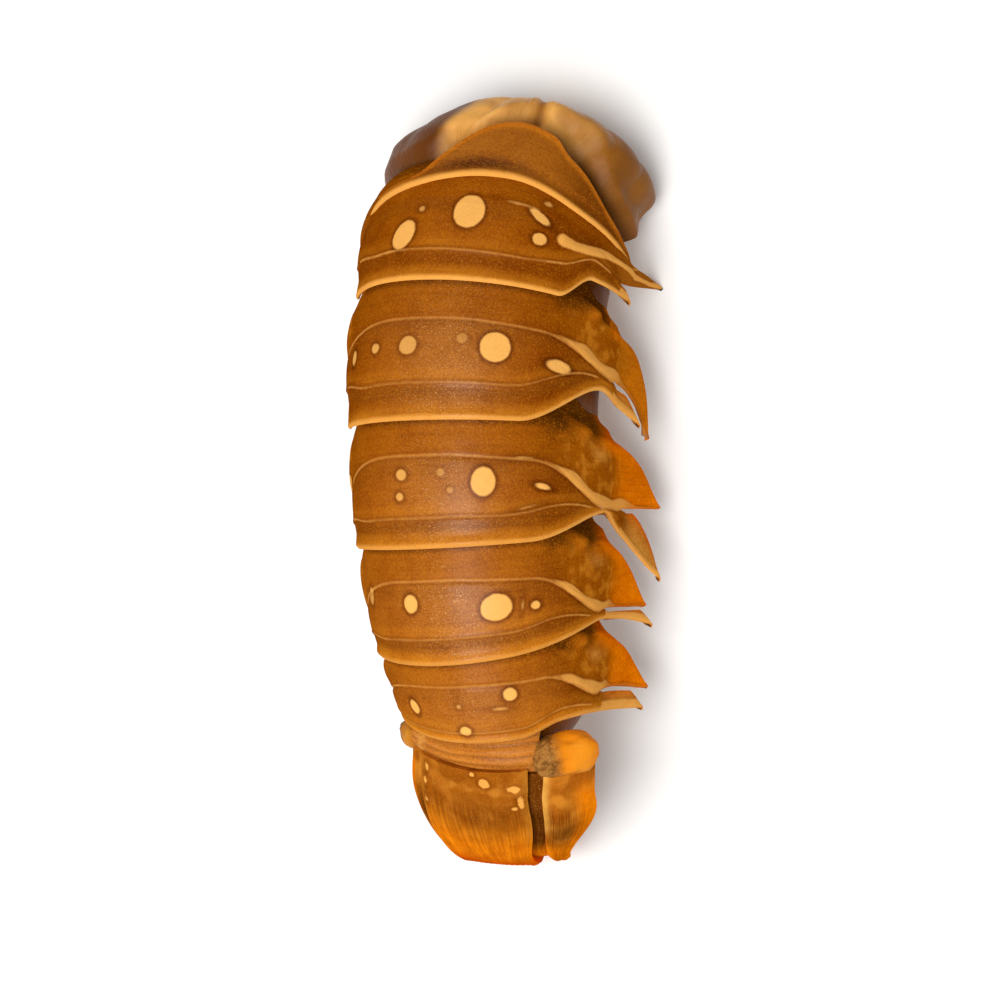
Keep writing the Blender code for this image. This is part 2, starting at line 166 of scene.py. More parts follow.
def mixed(colour, other, amount):
    """Rows of colour turned towards another colour by amounts."""
    amount = np.broadcast_to(np.clip(amount, 0.0, 1.0), len(colour))[:, None]
    return colour * (1 - amount) + np.asarray(other) * amount


def layered(colour, *layers):
    """Rows of colour turned towards one colour after another, each by its own amounts."""
    for other, amount in layers:
        colour = mixed(colour, other, amount)
    return colour


def unit(vector):
    return vector / np.linalg.norm(vector)


def plain(colour, count):
    return np.tile(np.asarray(colour, float), (count, 1))


class Value:
    """A node's output. Arithmetic on it adds Math nodes."""

    def __init__(self, finish, socket):
        self.finish, self.socket = finish, socket

    def joined(self, operation, first, second):
        return self.finish.node("ShaderNodeMath", {"operation": operation}, {0: first, 1: second})

    def __add__(self, other):
        return self.joined("ADD", self, other)

    def __sub__(self, other):
        return self.joined("SUBTRACT", self, other)

    def __rsub__(self, other):
        return self.joined("SUBTRACT", other, self)

    def __mul__(self, other):
        return self.joined("MULTIPLY", self, other)

    def __truediv__(self, other):
        return self.joined("DIVIDE", self, other)

    __radd__, __rmul__ = __add__, __mul__


class Finish:
    """A material and the nodes it is made of."""

    def __init__(self, name, constants):
        self.material = bpy.data.materials.new(name)
        self.material.use_nodes = True
        self.tree = self.material.node_tree
        self.shader = self.tree.nodes["Principled BSDF"]
        for socket, value in constants.items():
            self.shader.inputs[socket].default_value = value
        self.place = self.node("ShaderNodeTexCoord", {}, {}, "Object")
        self.colour = None

    def feed(self, socket, value):
        if isinstance(value, Value):
            self.tree.links.new(value.socket, socket)
        else:
            socket.default_value = value

    def node(self, kind, settings, inputs, output=0):
        made = self.tree.nodes.new(kind)
        for name, value in settings.items():
            setattr(made, name, value)
        for name, value in inputs.items():
            self.feed(made.inputs[name], value)
        return Value(self, made.outputs[output])

    def field(self, name):
        """A number painted on the piece."""
        return self.node("ShaderNodeAttribute", {"attribute_name": name}, {}, "Fac")

    def paint(self, name="paint"):
        return self.node("ShaderNodeAttribute", {"attribute_name": name}, {}, "Color")

    def noise(self, scale, detail=2.0, rough=0.5, at=None):
        inputs = {"Vector": at or self.place, "Scale": scale, "Detail": detail, "Roughness": rough}
        return self.node("ShaderNodeTexNoise", {}, inputs)

    def cells(self, scale, at=None):
        return self.node("ShaderNodeTexVoronoi", {}, {"Vector": at or self.place, "Scale": scale})

    def step(self, value, low, high, start=0.0, end=1.0):
        inputs = {"Value": value, "From Min": low, "From Max": high, "To Min": start, "To Max": end}
        return self.node("ShaderNodeMapRange", {"interpolation_type": "SMOOTHSTEP"}, inputs)

    def blend(self, amount, colour, other, how="MIX"):
        """The colour turned towards another by an amount, or multiplied by it."""
        colours = [c if isinstance(c, Value) else (*c, 1.0) for c in (colour, other)]
        settings = {"data_type": "RGBA", "blend_type": how, "clamp_result": False}
        return self.node("ShaderNodeMix", settings, {0: amount, 6: colours[0], 7: colours[1]}, 2)

    def turn(self, amount, other):
        self.colour = self.blend(amount, self.colour, other)

    def shade(self, amount, tint):
        self.colour = self.blend(amount, self.colour, tint, "MULTIPLY")

    def stretched(self, x, y):
        """The piece's own flat coordinates, in millimetres, drawn out."""
        flat = self.node("ShaderNodeUVMap", {"uv_map": "flat"}, {})
        return self.node("ShaderNodeMapping", {}, {"Vector": flat, "Scale": (x, y, 1.0)})

    def done(self, colour, roughness=None, height=None, depth=0.001):
        self.feed(self.shader.inputs["Base Color"], colour)
        if roughness is not None:
            self.feed(self.shader.inputs["Roughness"], roughness)
        if height is not None:
            inputs = {"Height": height, "Strength": 1.0, "Distance": depth}
            bump = self.node("ShaderNodeBump", {}, inputs)
            self.feed(self.shader.inputs["Normal"], bump)
        return self.material


def shell_finish():
    """Brown horny shell: cream lines, lips and spots with worn edges over fine grain."""
    f = Finish("shell_finish", {"Specular IOR Level": 0.0, "Coat Roughness": 0.32})
    wander = f.noise(500.0, 3.0, 0.6) - 0.5
    fine = f.noise(2600.0, 2.0, 0.6)
    grain = f.cells(2100.0)
    mottle = f.noise(150.0, 4.0, 0.6)
    f.colour = f.paint()
    f.shade(f.step(mottle, 0.35, 0.7), (0.84, 0.76, 0.65))
    f.feed(f.shader.inputs["Coat Weight"], f.field("sheen") * 0.35)
    streaks = f.noise(1.0, 3.0, 0.6, f.stretched(0.05, 1.1))
    f.shade(f.step(streaks, 0.48, 0.68) * 0.4, (0.70, 0.58, 0.45))
    glints = f.step(f.noise(3600.0, 1.0, 0.5), 0.58, 0.72) * f.field("sheen")
    f.turn(glints * 0.75, (0.72, 0.40, 0.15))
    f.turn(f.step(fine, 0.50, 0.70) * 0.5, (0.56, 0.180, 0.008))
    f.shade(f.step(grain, 0.42, 0.75) * 0.35, (0.60, 0.48, 0.36))
    spot = f.field("spot") + wander * 0.5
    halo = f.step(spot, 0.0, 1.3, 1.0, 0.0)
    f.shade(halo * f.field("clear") * 0.78, (0.36, 0.24, 0.16))
    line = f.field("line") + wander * 0.35
    shade = f.step(line, 0.0, 0.9, 1.0, 0.0) * 0.5
    f.shade(shade, (0.66, 0.52, 0.40))
    f.turn(f.step(line, -0.42, 0.32, 1.0, 0.0) * f.field("pale"), CREAM)
    f.turn(f.step(spot, -0.3, 0.22, 1.0, 0.0) * f.field("clear"), SPOT)
    lip = f.field("lip") + wander * 0.4
    f.turn(f.step(lip, 0.35, 1.5, 1.0, 0.0) * f.field("lip_pale"), CREAM)
    tone = f.noise(420.0, 3.0, 0.55)
    f.shade(f.step(tone, 0.3, 0.75) * 0.22, (1.25, 1.30, 1.35))
    height = fine * 0.05 + grain * -0.06 + f.noise(700.0, 3.0) * 0.10
    return f.done(f.colour, 0.36 + fine * 0.22, height, 0.0011)


def lining_finish():
    """The shell's thin inside, pale and smooth."""
    f = Finish("lining_finish", {"Roughness": 0.35})
    return f.done(f.blend(f.noise(200.0, 3.0), (0.42, 0.17, 0.04), (0.24, 0.085, 0.012)))


def fan_finish():
    """Horny plates of the fan: ribbed, brown at the base, orange and finer at the tip."""
    f = Finish("fan_finish", {"Specular IOR Level": 0.0})
    fine = f.noise(2600.0, 2.0, 0.6)
    wander = f.noise(900.0, 3.0, 0.6) - 0.5
    ribs = f.noise(1.0, 2.0, 0.5, f.stretched(1.55, 0.05))
    threads = f.noise(1.0, 1.0, 0.5, f.stretched(4.0, 0.16))
    ribbed = f.field("ribbed")
    f.colour = f.paint()
    f.shade(f.step(f.noise(240.0, 4.0, 0.6), 0.35, 0.7), (0.80, 0.72, 0.60))
    f.turn(f.step(fine, 0.5, 0.75) * 0.3, (0.75, 0.32, 0.06))
    dark_ribs = f.step(ribs, 0.46, 0.60, 1.0, 0.0) * ribbed
    f.shade(dark_ribs * 0.45, (0.46, 0.34, 0.22))
    f.shade(f.step(threads, 0.5, 0.62) * 0.16, (0.6, 0.5, 0.4))
    spot = f.field("spot") + wander * 0.9
    halo = f.step(spot, 0.1, 1.2, 1.0, 0.0)
    f.shade(halo * 0.5, (0.5, 0.38, 0.3))
    f.turn(f.step(spot, -0.2, 0.15, 1.0, 0.0), CREAM)
    height = ribs * ribbed * 0.5 + threads * 0.10 + fine * 0.05
    return f.done(f.colour, 0.46 + fine * 0.2, height)


def meat_finish():
    """Raw meat under its skin: translucent, tan, with brown seams."""
    f = Finish("meat_finish", {
        "IOR": 1.42, "Specular IOR Level": 0.12, "Coat Weight": 0.05, "Coat Roughness": 0.3,
        "Subsurface Weight": 0.2, "Subsurface Radius": (0.006, 0.003, 0.0015), "Subsurface Scale": 1.0,
    })
    cloud = f.noise(160.0, 4.0, 0.6)
    fibre = f.noise(1.0, 3.0, 0.55, f.stretched(1.1, 0.22))
    f.colour = f.paint()
    f.shade(f.step(cloud, 0.35, 0.72) * 0.6, (0.72, 0.62, 0.48))
    f.shade(f.step(fibre, 0.5, 0.7) * 0.3, (1.15, 1.2, 1.3))
    height = fibre * 0.25 + f.noise(900.0, 2.0) * 0.06
    return f.done(f.colour, 0.3 + cloud * 0.2, height)


def knuckle_finish():
    """The fan's stout joints: pitted, grey-brown to orange."""
    f = Finish("knuckle_finish", {"Specular IOR Level": 0.05})
    blotch = f.noise(600.0, 4.0, 0.65)
    fine = f.noise(2600.0, 2.0, 0.6)
    rough_part = f.field("rough")
    dark = f.step(blotch, 0.42, 0.62) * rough_part
    f.colour = f.paint()
    f.shade(dark * 0.75, (0.35, 0.25, 0.16))
    f.turn(f.step(fine, 0.5, 0.7) * 0.25, (0.72, 0.36, 0.06))
    height = blotch * (rough_part * 0.6 + 0.12) + fine * 0.05
    return f.done(f.colour, 0.34 + fine * 0.2, height)


def leaf_finish():
    """Soft leaves under the belly: thin, veined along their length."""
    f = Finish("leaf_finish", {"Coat Weight": 0.2, "Coat Roughness": 0.3})
    veins = f.noise(1.0, 3.0, 0.5, f.stretched(1.8, 0.12))
    colour = f.blend(f.step(veins, 0.42, 0.62), (0.46, 0.17, 0.025), (0.60, 0.30, 0.08))
    return f.done(colour, 0.42 + veins * 0.1, veins * 0.3)


def points_of(mesh):
    flat = np.empty(len(mesh.vertices) * 3)
    mesh.vertices.foreach_get("co", flat)
    return flat.reshape(-1, 3)


def move_points(mesh, places):
    """Sets a mesh's points to places in millimetres from the back line's start."""
    mesh.vertices.foreach_set("co", ((places + PLACE) * MM).astype(np.float32).ravel())


def paint_points(mesh, name, values):
    """Writes a number or a colour for each point of a mesh."""
    if values.ndim == 2:
        layer = mesh.attributes.new(name, "FLOAT_COLOR", "POINT")
        rgba = np.concatenate([values, np.ones((len(values), 1))], 1)
        layer.data.foreach_set("color", np.clip(rgba, 0.0, 1.0).astype(np.float32).ravel())
    else:
        layer = mesh.attributes.new(name, "FLOAT", "POINT")
        layer.data.foreach_set("value", values.astype(np.float32))


def sheet_of_grid(columns, rows, shape):
    """A grid primitive whose points are moved to where shape(u, v) says, in millimetres. shape also
    gives the numbers and colours painted on it, by name."""
    bpy.ops.object.select_all(action="DESELECT")
    bpy.ops.mesh.primitive_grid_add(x_subdivisions=columns, y_subdivisions=rows, size=2)
    piece = bpy.context.object
    mesh = piece.data
    u, v = (np.clip((points_of(mesh)[:, k] + 1) / 2, 0.0, 1.0) for k in range(2))
    u, v = np.round(u * columns) / columns, np.round(v * rows) / rows
    places, painted = shape(u, v)
    move_points(mesh, places)
    for name, values in painted.items():
        if name == "flat":
            corner = np.empty(len(mesh.loops), int)
            mesh.loops.foreach_get("vertex_index", corner)
            mesh.uv_layers[0].name = "flat"
            mesh.uv_layers["flat"].data.foreach_set("uv", values[corner].ravel())
        else:
            paint_points(mesh, name, values)
    mesh.update()
    return piece


def one_piece(name, patches, finishes, nodes, thick=None, flip=False):
    """Joins patches into a named piece, gives it its thickness and finish, and sets it on the tail."""
    bpy.ops.object.select_all(action="DESELECT")
    for patch in patches:
        patch.select_set(True)
    piece = patches[0]
    bpy.context.view_layer.objects.active = piece
    if len(patches) > 1:
        bpy.ops.object.join()
    bpy.ops.object.mode_set(mode="EDIT")
    bpy.ops.mesh.select_all(action="SELECT")
    bpy.ops.mesh.remove_doubles(threshold=1e-6)
    if flip:
        bpy.ops.mesh.flip_normals()
    bpy.ops.object.mode_set(mode="OBJECT")
    piece.name = piece.data.name = name
    piece.data.materials.clear()
    for finish in finishes:
        piece.data.materials.append(finish)
    if thick:
        wall = piece.modifiers.new("wall", "SOLIDIFY")
        wall.thickness = thick * MM
        wall.offset = -1.0
        wall.material_offset = len(finishes) - 1
        bpy.ops.object.modifier_apply(modifier=wall.name)
    for vertex in piece.data.vertices:
        if vertex.co.z < 0.0:
            vertex.co.z = 0.0
    bpy.ops.object.shade_smooth_by_angle(angle=math.radians(50))
    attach(piece, "root")
    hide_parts(*nodes)
    return piece


class Blades:
    """One side of a ring: a spike in front and a tooth behind, parting at the neck. neck, lip_from,
    lip_to, spike and tooth are angles round the ring in degrees. hook and back are powers that bend
    the spike's front and rear edges. The other numbers are shares of the ring's length."""

    def __init__(self, neck, groove_neck, lip_from, lip_to, lip_neck, spike, spike_end, hook, back,
                 tooth, tooth_end):
        self.neck, self.groove_neck = neck, groove_neck
        self.lip_from, self.lip_to, self.lip_neck = lip_from, lip_to, lip_neck
        self.spike, self.spike_end, self.hook, self.back = spike, spike_end, hook, back
        self.tooth, self.tooth_end = tooth, tooth_end
        self.dips_early = False


# The right side's blades by ring. Rings count from 0, the narrow one at the cut end.
RIGHT = {
    1: (78.0, 0.58, 41.0, 58.0, 0.74, 121.5, 0.05, 2.5, 1.5, 92.0, 0.70),
    2: (83.0, 0.56, 28.0, 72.0, 0.68, 117.0, 1.04, 9.0, 3.0, 107.0, 0.90),
    3: (100.0, 0.78, 34.0, 80.0, 0.80, 131.0, 0.82, 5.4, 1.5, 130.0, 1.75),
    4: (85.0, 0.84, 22.0, 76.0, 0.93, 124.5, 1.14, 4.4, 1.3, 124.0, 1.34),
    5: (80.0, 0.86, 22.0, 44.0, 0.92, 130.0, 1.38, 2.9, 1.3, 119.0, 1.50),
}
LEFT_NECK, LEFT_LIP_FROM = 90.0, 74.0

# Spots of each ring: angle, share of the length, half sizes across and along in mm, turn in degrees,
# and how clear they are.
SPOTS = {
    1: ((-2, 0.40, 3.4, 3.9, 0, 1), (-31, 0.61, 2.8, 3.5, 40, 1), (-24, 0.39, 0.8, 0.6, 0, 0.6),
        (27.5, 0.32, 2.8, 1.1, 30, 1), (30, 0.17, 1.0, 0.6, 0, 0.6), (29, 0.53, 1.6, 1.5, 0, 1),
        (19, 0.25, 3.0, 0.3, 0, 0.5)),
    2: ((17, 0.47, 3.3, 3.3, 0, 1), (-21, 0.47, 2.2, 2.0, 0, 0.7), (3, 0.42, 1.2, 1.1, 0, 0.35),
        (-40, 0.47, 1.3, 1.1, 0, 0.8), (-60, 0.50, 1.2, 1.7, 0, 0.8), (45, 0.56, 3.0, 1.5, 8, 1)),
    3: ((14, 0.49, 2.6, 3.2, 0, 1), (-23, 0.42, 1.4, 1.2, 0, 0.75), (-24, 0.59, 1.0, 0.9, 0, 0.75),
        (-4, 0.41, 0.9, 0.9, 0, 0.4), (0, 0.55, 0.7, 0.7, 0, 0.4), (40, 0.54, 1.7, 0.65, 15, 1),
        (-76, 0.46, 2.4, 2.3, 0, 0.9), (31, 0.30, 1.6, 0.25, 0, 0.6), (33, 0.71, 1.6, 0.25, -12, 0.6)),
    4: ((17, 0.54, 3.4, 2.9, -15, 1), (-24, 0.46, 1.8, 2.0, 0, 1), (35, 0.57, 1.1, 1.0, 0, 1),
        (-55, 0.41, 1.2, 1.9, 0, 0.6), (29, 0.55, 0.3, 1.0, 10, 0.6)),
    5: ((18, 0.43, 1.5, 1.4, 0, 1), (-38, 0.57, 1.3, 1.8, -15, 1), (-8, 0.83, 1.3, 1.1, 0, 1),
        (12, 0.58, 1.4, 0.3, 5, 0.6), (-9, 0.51, 0.5, 0.5, 0, 0.5)),
}
# By ring: where its second line runs, how pale its lip is, how much its middle shines, how strong the
# painted sheen over its middle is, and how far it turns to orange-brown.
SECOND_LINE = {1: 0.74, 2: 0.735, 3: 0.76, 4: 0.77, 5: 0.86}
LIP_PALE = {1: 0.9, 2: 0.75, 3: 0.65, 4: 0.55, 5: 0.5}
SHEEN = {1: 0.2, 2: 0.9, 3: 0.9, 4: 0.9, 5: 0.6}
PAINTED_SHEEN = {1: 0.1, 2: 0.75, 3: 0.8, 4: 0.8, 5: 0.5}
ORANGE_BROWN = {1: 0.0, 2: 0.05, 3: 0.15, 4: 0.35, 5: 0.5}

# Angles round the ring and where the lines lie there: in shares of the length for the pale ridge of
# the second ring, in millimetres for the first ring's lip and front edge. FIRST_REACH is the angle at
# which the first ring ends on each side.
SECOND_RING_RIDGE = (
    (38, 45, 52, 65, 78, 92, 107, 122),
    (0.47, 0.49, 0.47, 0.40, 0.385, 0.35, 0.22, 0.0),
)
FIRST_REACH = 96.0
FIRST_LIP = ((-96, -60, -39, -21, -6, 17, 45, 62, 96), (1.4, 2.8, 3.5, 3.2, 2.2, 0.8, 1.8, 1.2, -1.2))
FIRST_FRONT = (
    (-96, -56, -38, -31, -17, -8.5, 3.5, 14, 20.6, 28.3, 36.3, 47, 59, 72, 96),
    (12.0, 12.4, 11.6, 10.8, 4.4, -0.2, -3.6, -4.3, -3.8, -2.4, 0.2, 3.2, 7.8, 10.8, 14.0),
)


def drawn_line(table, angle):
    """A line of angles and millimetres with its corners rounded off."""
    near = [np.interp(angle + shift, *table) for shift in (-6.0, -4.0, -2.0, 0.0, 2.0, 4.0, 6.0)]
    return sum(near) / len(near)


def first_sweep(angle):
    turn = np.abs(angle) / 90.0
    return 9.0 * np.where(turn < 1, turn ** 2, 1 - 3.4 * (turn - 1))


def first_front(angle):
    return drawn_line(FIRST_FRONT, angle)


def lip_line(ring, angle, b):
    retreat = between(angle, b.lip_from, b.lip_to)
    beyond = np.maximum(0.0, (angle - b.lip_to) / (b.tooth - b.lip_to))
    share = 1 + (b.lip_neck - 1) * retreat + (b.tooth_end - b.lip_neck) * beyond ** 1.5
    return RING_LENGTHS[ring] * share


def groove_line(ring, angle, b):
    turn = np.clip((angle - 25.0) / (b.neck - 25.0), 0.0, 1.0) ** 2.4
    if b.dips_early:
        turn = 0.75 * between(angle, 36.0, 80.0) + 0.25 * np.minimum(1.0, angle / b.neck)
    near = GROOVE + (b.groove_neck - GROOVE) * turn
    beyond = np.maximum(0.0, (angle - b.neck) / (b.spike - b.neck)) ** b.back
    far = b.groove_neck + (b.spike_end - b.groove_neck) * beyond
    return RING_LENGTHS[ring] * np.where(angle <= b.neck, near, far)


def tooth_line(ring, angle, b):
    length = RING_LENGTHS[ring]
    beyond = np.maximum(0.0, (angle - b.neck) / (b.tooth - b.neck)) ** 2.6
    edge = length * (b.groove_neck + (b.tooth_end - b.groove_neck) * beyond)
    gap = 0.05 * length * np.clip((angle - b.neck) / 6.0, 0.0, 1.0)
    return np.maximum(edge, groove_line(ring, np.minimum(angle, b.spike), b) + gap)


def front_line(ring, angle, b):
    length = RING_LENGTHS[ring]
    if ring == 1:
        bare = first_sweep(angle) - HIDDEN + 1.5 * between(angle, 84.0, 98.0)
    else:
        bare = -HIDDEN + (HIDDEN + 0.08 * length) * between(angle, 48.0, 74.0)
    beyond = np.maximum(0.0, (angle - 60.0) / (b.spike - 60.0)) ** b.hook
    return bare + (b.spike_end * length - bare) * beyond


def facet_edge(ring, angle, b):
    """Where the facet really starts: ahead of the blade's front margin there is a soft dark web."""
    front = front_line(ring, angle, b)
    web = between(angle, b.lip_from, b.lip_from + 24.0) * (1 - between(angle, 84.0, 104.0))
    return front if ring == 1 else front - 6.5 * web


# The lines that each patch of a ring runs between.
EDGES = {
    "facet": (facet_edge, groove_line), "plate": (groove_line, lip_line),
    "spike": (facet_edge, groove_line), "tooth": (tooth_line, lip_line),
}


def facet_lift(offset, behind):
    """The hidden edge of a ring lies deep, and comes up close under the lip of the ring before."""
    deep = -FACET_DEPTH + 1.42 * between(offset, -3.6, -0.4) + 0.38 * between(offset, 0.0, 5.0)
    return deep + 0.15 * between(behind, -2.5, 0.0)


def plate_lift(share):
    return 0.35 * np.sin(math.pi * share) - 0.05 + 0.3 * between(share, 0.85, 1.0)


def spot_fields(ring, angle, offset, width):
    """Millimetres outside the nearest spot, and how clear that spot is."""
    near = np.full(len(angle), FAR)
    clear = np.ones(len(angle))
    for middle, share, half_across, half_along, turn, strength in SPOTS.get(ring, ()):
        x = np.radians(angle - middle) * width
        y = offset - share * RING_LENGTHS[ring]
        c, s = math.cos(math.radians(turn)), math.sin(math.radians(turn))
        x, y = x * c + y * s, y * c - x * s
        size = np.sqrt((x / half_across) ** 2 + (y / half_along) ** 2)
        away = (size - 1) * min(half_across, half_along)
        closer = away < near
        near, clear = np.where(closer, away, near), np.where(closer, strength, clear)
    return near, clear


# The share of the way to its tip that a blade's patch runs, and how its columns gather there.
TIP_REACH, TIP_GATHER = 0.985, 1.4


def ring_patch(ring, b, part, columns, rows, side):
    """One patch of a ring: the hidden facet or the plate over the back, or a spike or a tooth."""

    def shape(u, v):
        if part in ("facet", "plate"):
            left = LEFT_NECK
            signed = -left + (left + b["right"].neck) * u
        else:
            own = b[side]
            tip = own.spike if part == "spike" else own.tooth
            reach = (TIP_REACH if ring > 1 else 0.90) * (u if side == "right" else 1 - u)
            gathered = (1 - (1 - reach) ** TIP_GATHER) / (1 - (1 - TIP_REACH) ** TIP_GATHER)
            a = own.neck + (tip - own.neck) * gathered * TIP_REACH
            signed = a if side == "right" else -a
        a = np.abs(signed)
        wanted = (*EDGES[part], groove_line, lip_line, front_line)
        lines = [
            np.where(signed > 0, line(ring, a, b["right"]), line(ring, a, b["left"])) for line in wanted
        ]
        near, far, groove, lip, front = lines
        offset = near + (far - near) * v
        neck = np.where(signed > 0, b["right"].neck, b["left"].neck)
        return finished_ring(ring, part, signed, a, v, offset, near, far, groove, lip, front, neck)

    return sheet_of_grid(columns, rows, shape)


def finished_ring(ring, part, signed, a, share, offset, near, far, groove, lip, front, neck):
    """Places and paint of a ring's points."""
    length = RING_LENGTHS[ring]
    along = JOINTS[ring] + offset
    width = np.interp(along, *WIDTH)
    behind, before_lip = offset - groove, lip - offset
    front_part = part in ("facet", "spike")
    beyond = between(a - neck, 0.0, 12.0)
    lift = facet_lift(offset, behind) if front_part else plate_lift(share)
    if part != "tooth":
        at_groove = 1 - between(np.abs(behind), 0.0, 1.5)
        lift = lift + (-0.15 - lift) * at_groove

    # The second line: a low step across the plate, running into the lip at the sides.
    second_share = SECOND_LINE[ring] - 0.10 * between(-signed, 45.0, 75.0)
    second_share = second_share - 0.18 * between(signed, 20.0, 75.0)
    second = offset - (groove + (lip - groove) * (second_share - GROOVE) / (1 - GROOVE))
    on_plate = 0.0 if front_part else 1.0 - beyond
    lift += on_plate * (-0.22 * between(second, 0.0, 0.8) + 0.22 * between(second, 2.0, 6.0))
    lift += on_plate * 0.12 * hump(second, -0.2, 0.4)

    # The groove, a ridge that grows out of it towards the spike, and the rounded lip.
    seen_groove = 1.0 if ring > 1 else 0.0
    lift += -0.16 * hump(behind, 0.35, 0.45) * seen_groove * (1.0 if part != "tooth" else 0.0)
    if ring == 1:
        ridge_from = np.where(signed > 0, between(a, 37.0, 39.5), between(a, 88.0, 98.0))
        ridge_half = (1.55 + 0.3 * np.sin(a * 0.23)) * (1 - 0.35 * between(a, 48.0, 66.0))
        ridge_at = offset - length * np.interp(a, *SECOND_RING_RIDGE)
    else:
        ridge_from = np.where(signed > 0, between(a, 38.0, 62.0), between(a, 86.0, 98.0))
        swell = 0.85 + 0.25 * np.sin(a * 0.31 + ring)
        fades = 1 - 0.75 * between(a, neck + 2.0, neck + 16.0)
        ridge_half = (0.12 + ridge_from * swell * np.where(signed > 0, 1.55 - 0.2 * (ring > 3), 0.7)) * fades
        ridge_at = behind + np.where(signed > 0, 1.25, 0.85) * ridge_from * fades
    if part == "tooth":
        ridge_at = np.full(len(a), 5.0)
    lift += 0.5 * ridge_from * hump(ridge_at, 0.0, ridge_half * 1.1 + 0.2) * between(far - near, 0.6, 3.0)
    if not front_part:
        broad = between(lip - near, 0.6, 4.0)
        lift += broad * (0.26 * hump(before_lip, 0.9, 0.9) - 0.30 * (1 - between(before_lip, 0.0, 0.7)))

    # The blades bulge, thin out to their edges and carry soft lumps.
    stand = TOOTH_LIFT * between((a - neck) / 40.0, 0.0, 1.0) if part == "tooth" else 0.0
    lift += stand
    web = 0.0
    if front_part:
        run = np.clip((offset - front) / np.maximum(groove - front, 0.5), 0.0, 1.0)
        lift += 1.1 * np.sin(math.pi * run) ** 0.8 * between(a, 62.0, 88.0)
        lift -= 0.45 * (1 - between((offset - front), 0.0, 0.9)) * between(a, 66.0, 80.0)
        web = (1 - between(offset - front, -1.4, 0.1)) * between(a, 46.0, 60.0) * (ring > 1)
        lift -= 0.9 * web
    spot, clear = spot_fields(ring, signed, offset, width)
    fuller = (ring < 3) * (1 - 0.95 * between(offset / length, 0.5, 1.0))
    lift += 0.05 * between(spot, 0.4, -0.4) + 1.2 * between(-signed, 50.0, 85.0) * fuller
    places = on_shell(along, signed, lift)
    lumps = ripple(places, 9.0, ring) * 0.10 + ripple(places, 3.5, ring + 2.0) * 0.04
    knot = hump(a, 62.0, 5.0) * hump(offset, 1.4, 1.7) * (signed > 0) if front_part and ring > 1 else 0.0
    places = on_shell(along, signed, lift + lumps + 1.8 * knot)

    colour = ring_paint(
        ring, part, signed, a, offset, front, behind, before_lip, second, beyond, web, share, places
    )
    line = np.minimum(np.abs(behind - 0.1) - 0.22 + (1 - seen_groove) * 6.0, 6.0)
    if ring == 1:
        ridge = np.hypot(ridge_at, np.radians(np.maximum(0.0, 40.0 - signed)) * width) - ridge_half
        ridge = np.where(signed < 0, 6.0 * (1 - ridge_from) + np.abs(ridge_at) - ridge_half, ridge)
    else:
        ridge = np.abs(ridge_at) - ridge_half + 6.0 * (1 - between(ridge_from, 0.0, 0.05))
    line = np.minimum(line, ridge)
    if not front_part:
        fade = 6.0 * beyond + 3.0 * between(a, 66.0, 80.0)
        line = np.minimum(line, np.abs(second) - 0.16 + fade)
    if part == "tooth":
        line = np.minimum(6.0, np.abs(before_lip - 1.2) - 1.0)
    pale = 0.55 + 0.32 * between(a, 38.0, 56.0) - 0.60 * between(a, neck - 4.0, neck + 14.0)
    if part == "tooth":
        pale = np.full(len(a), 0.9)
    if ring == 1:
        pale = np.where(a > 34.0, 1.0, pale)
    fields = {
        "paint": colour, "line": line, "pale": pale, "spot": spot, "clear": clear,
        "lip": np.full(len(a), 8.0) if front_part else np.clip(before_lip, 0.0, 8.0),
        "lip_pale": LIP_PALE[ring] + 0.35 * between(signed, 30.0, 60.0),
        "sheen": SHEEN[ring] * (0.5 if front_part else 1.0) * hump(signed, -2.0, 24.0),
        "flat": np.stack([np.radians(signed) * width, along], 1),
    }
    return places, fields


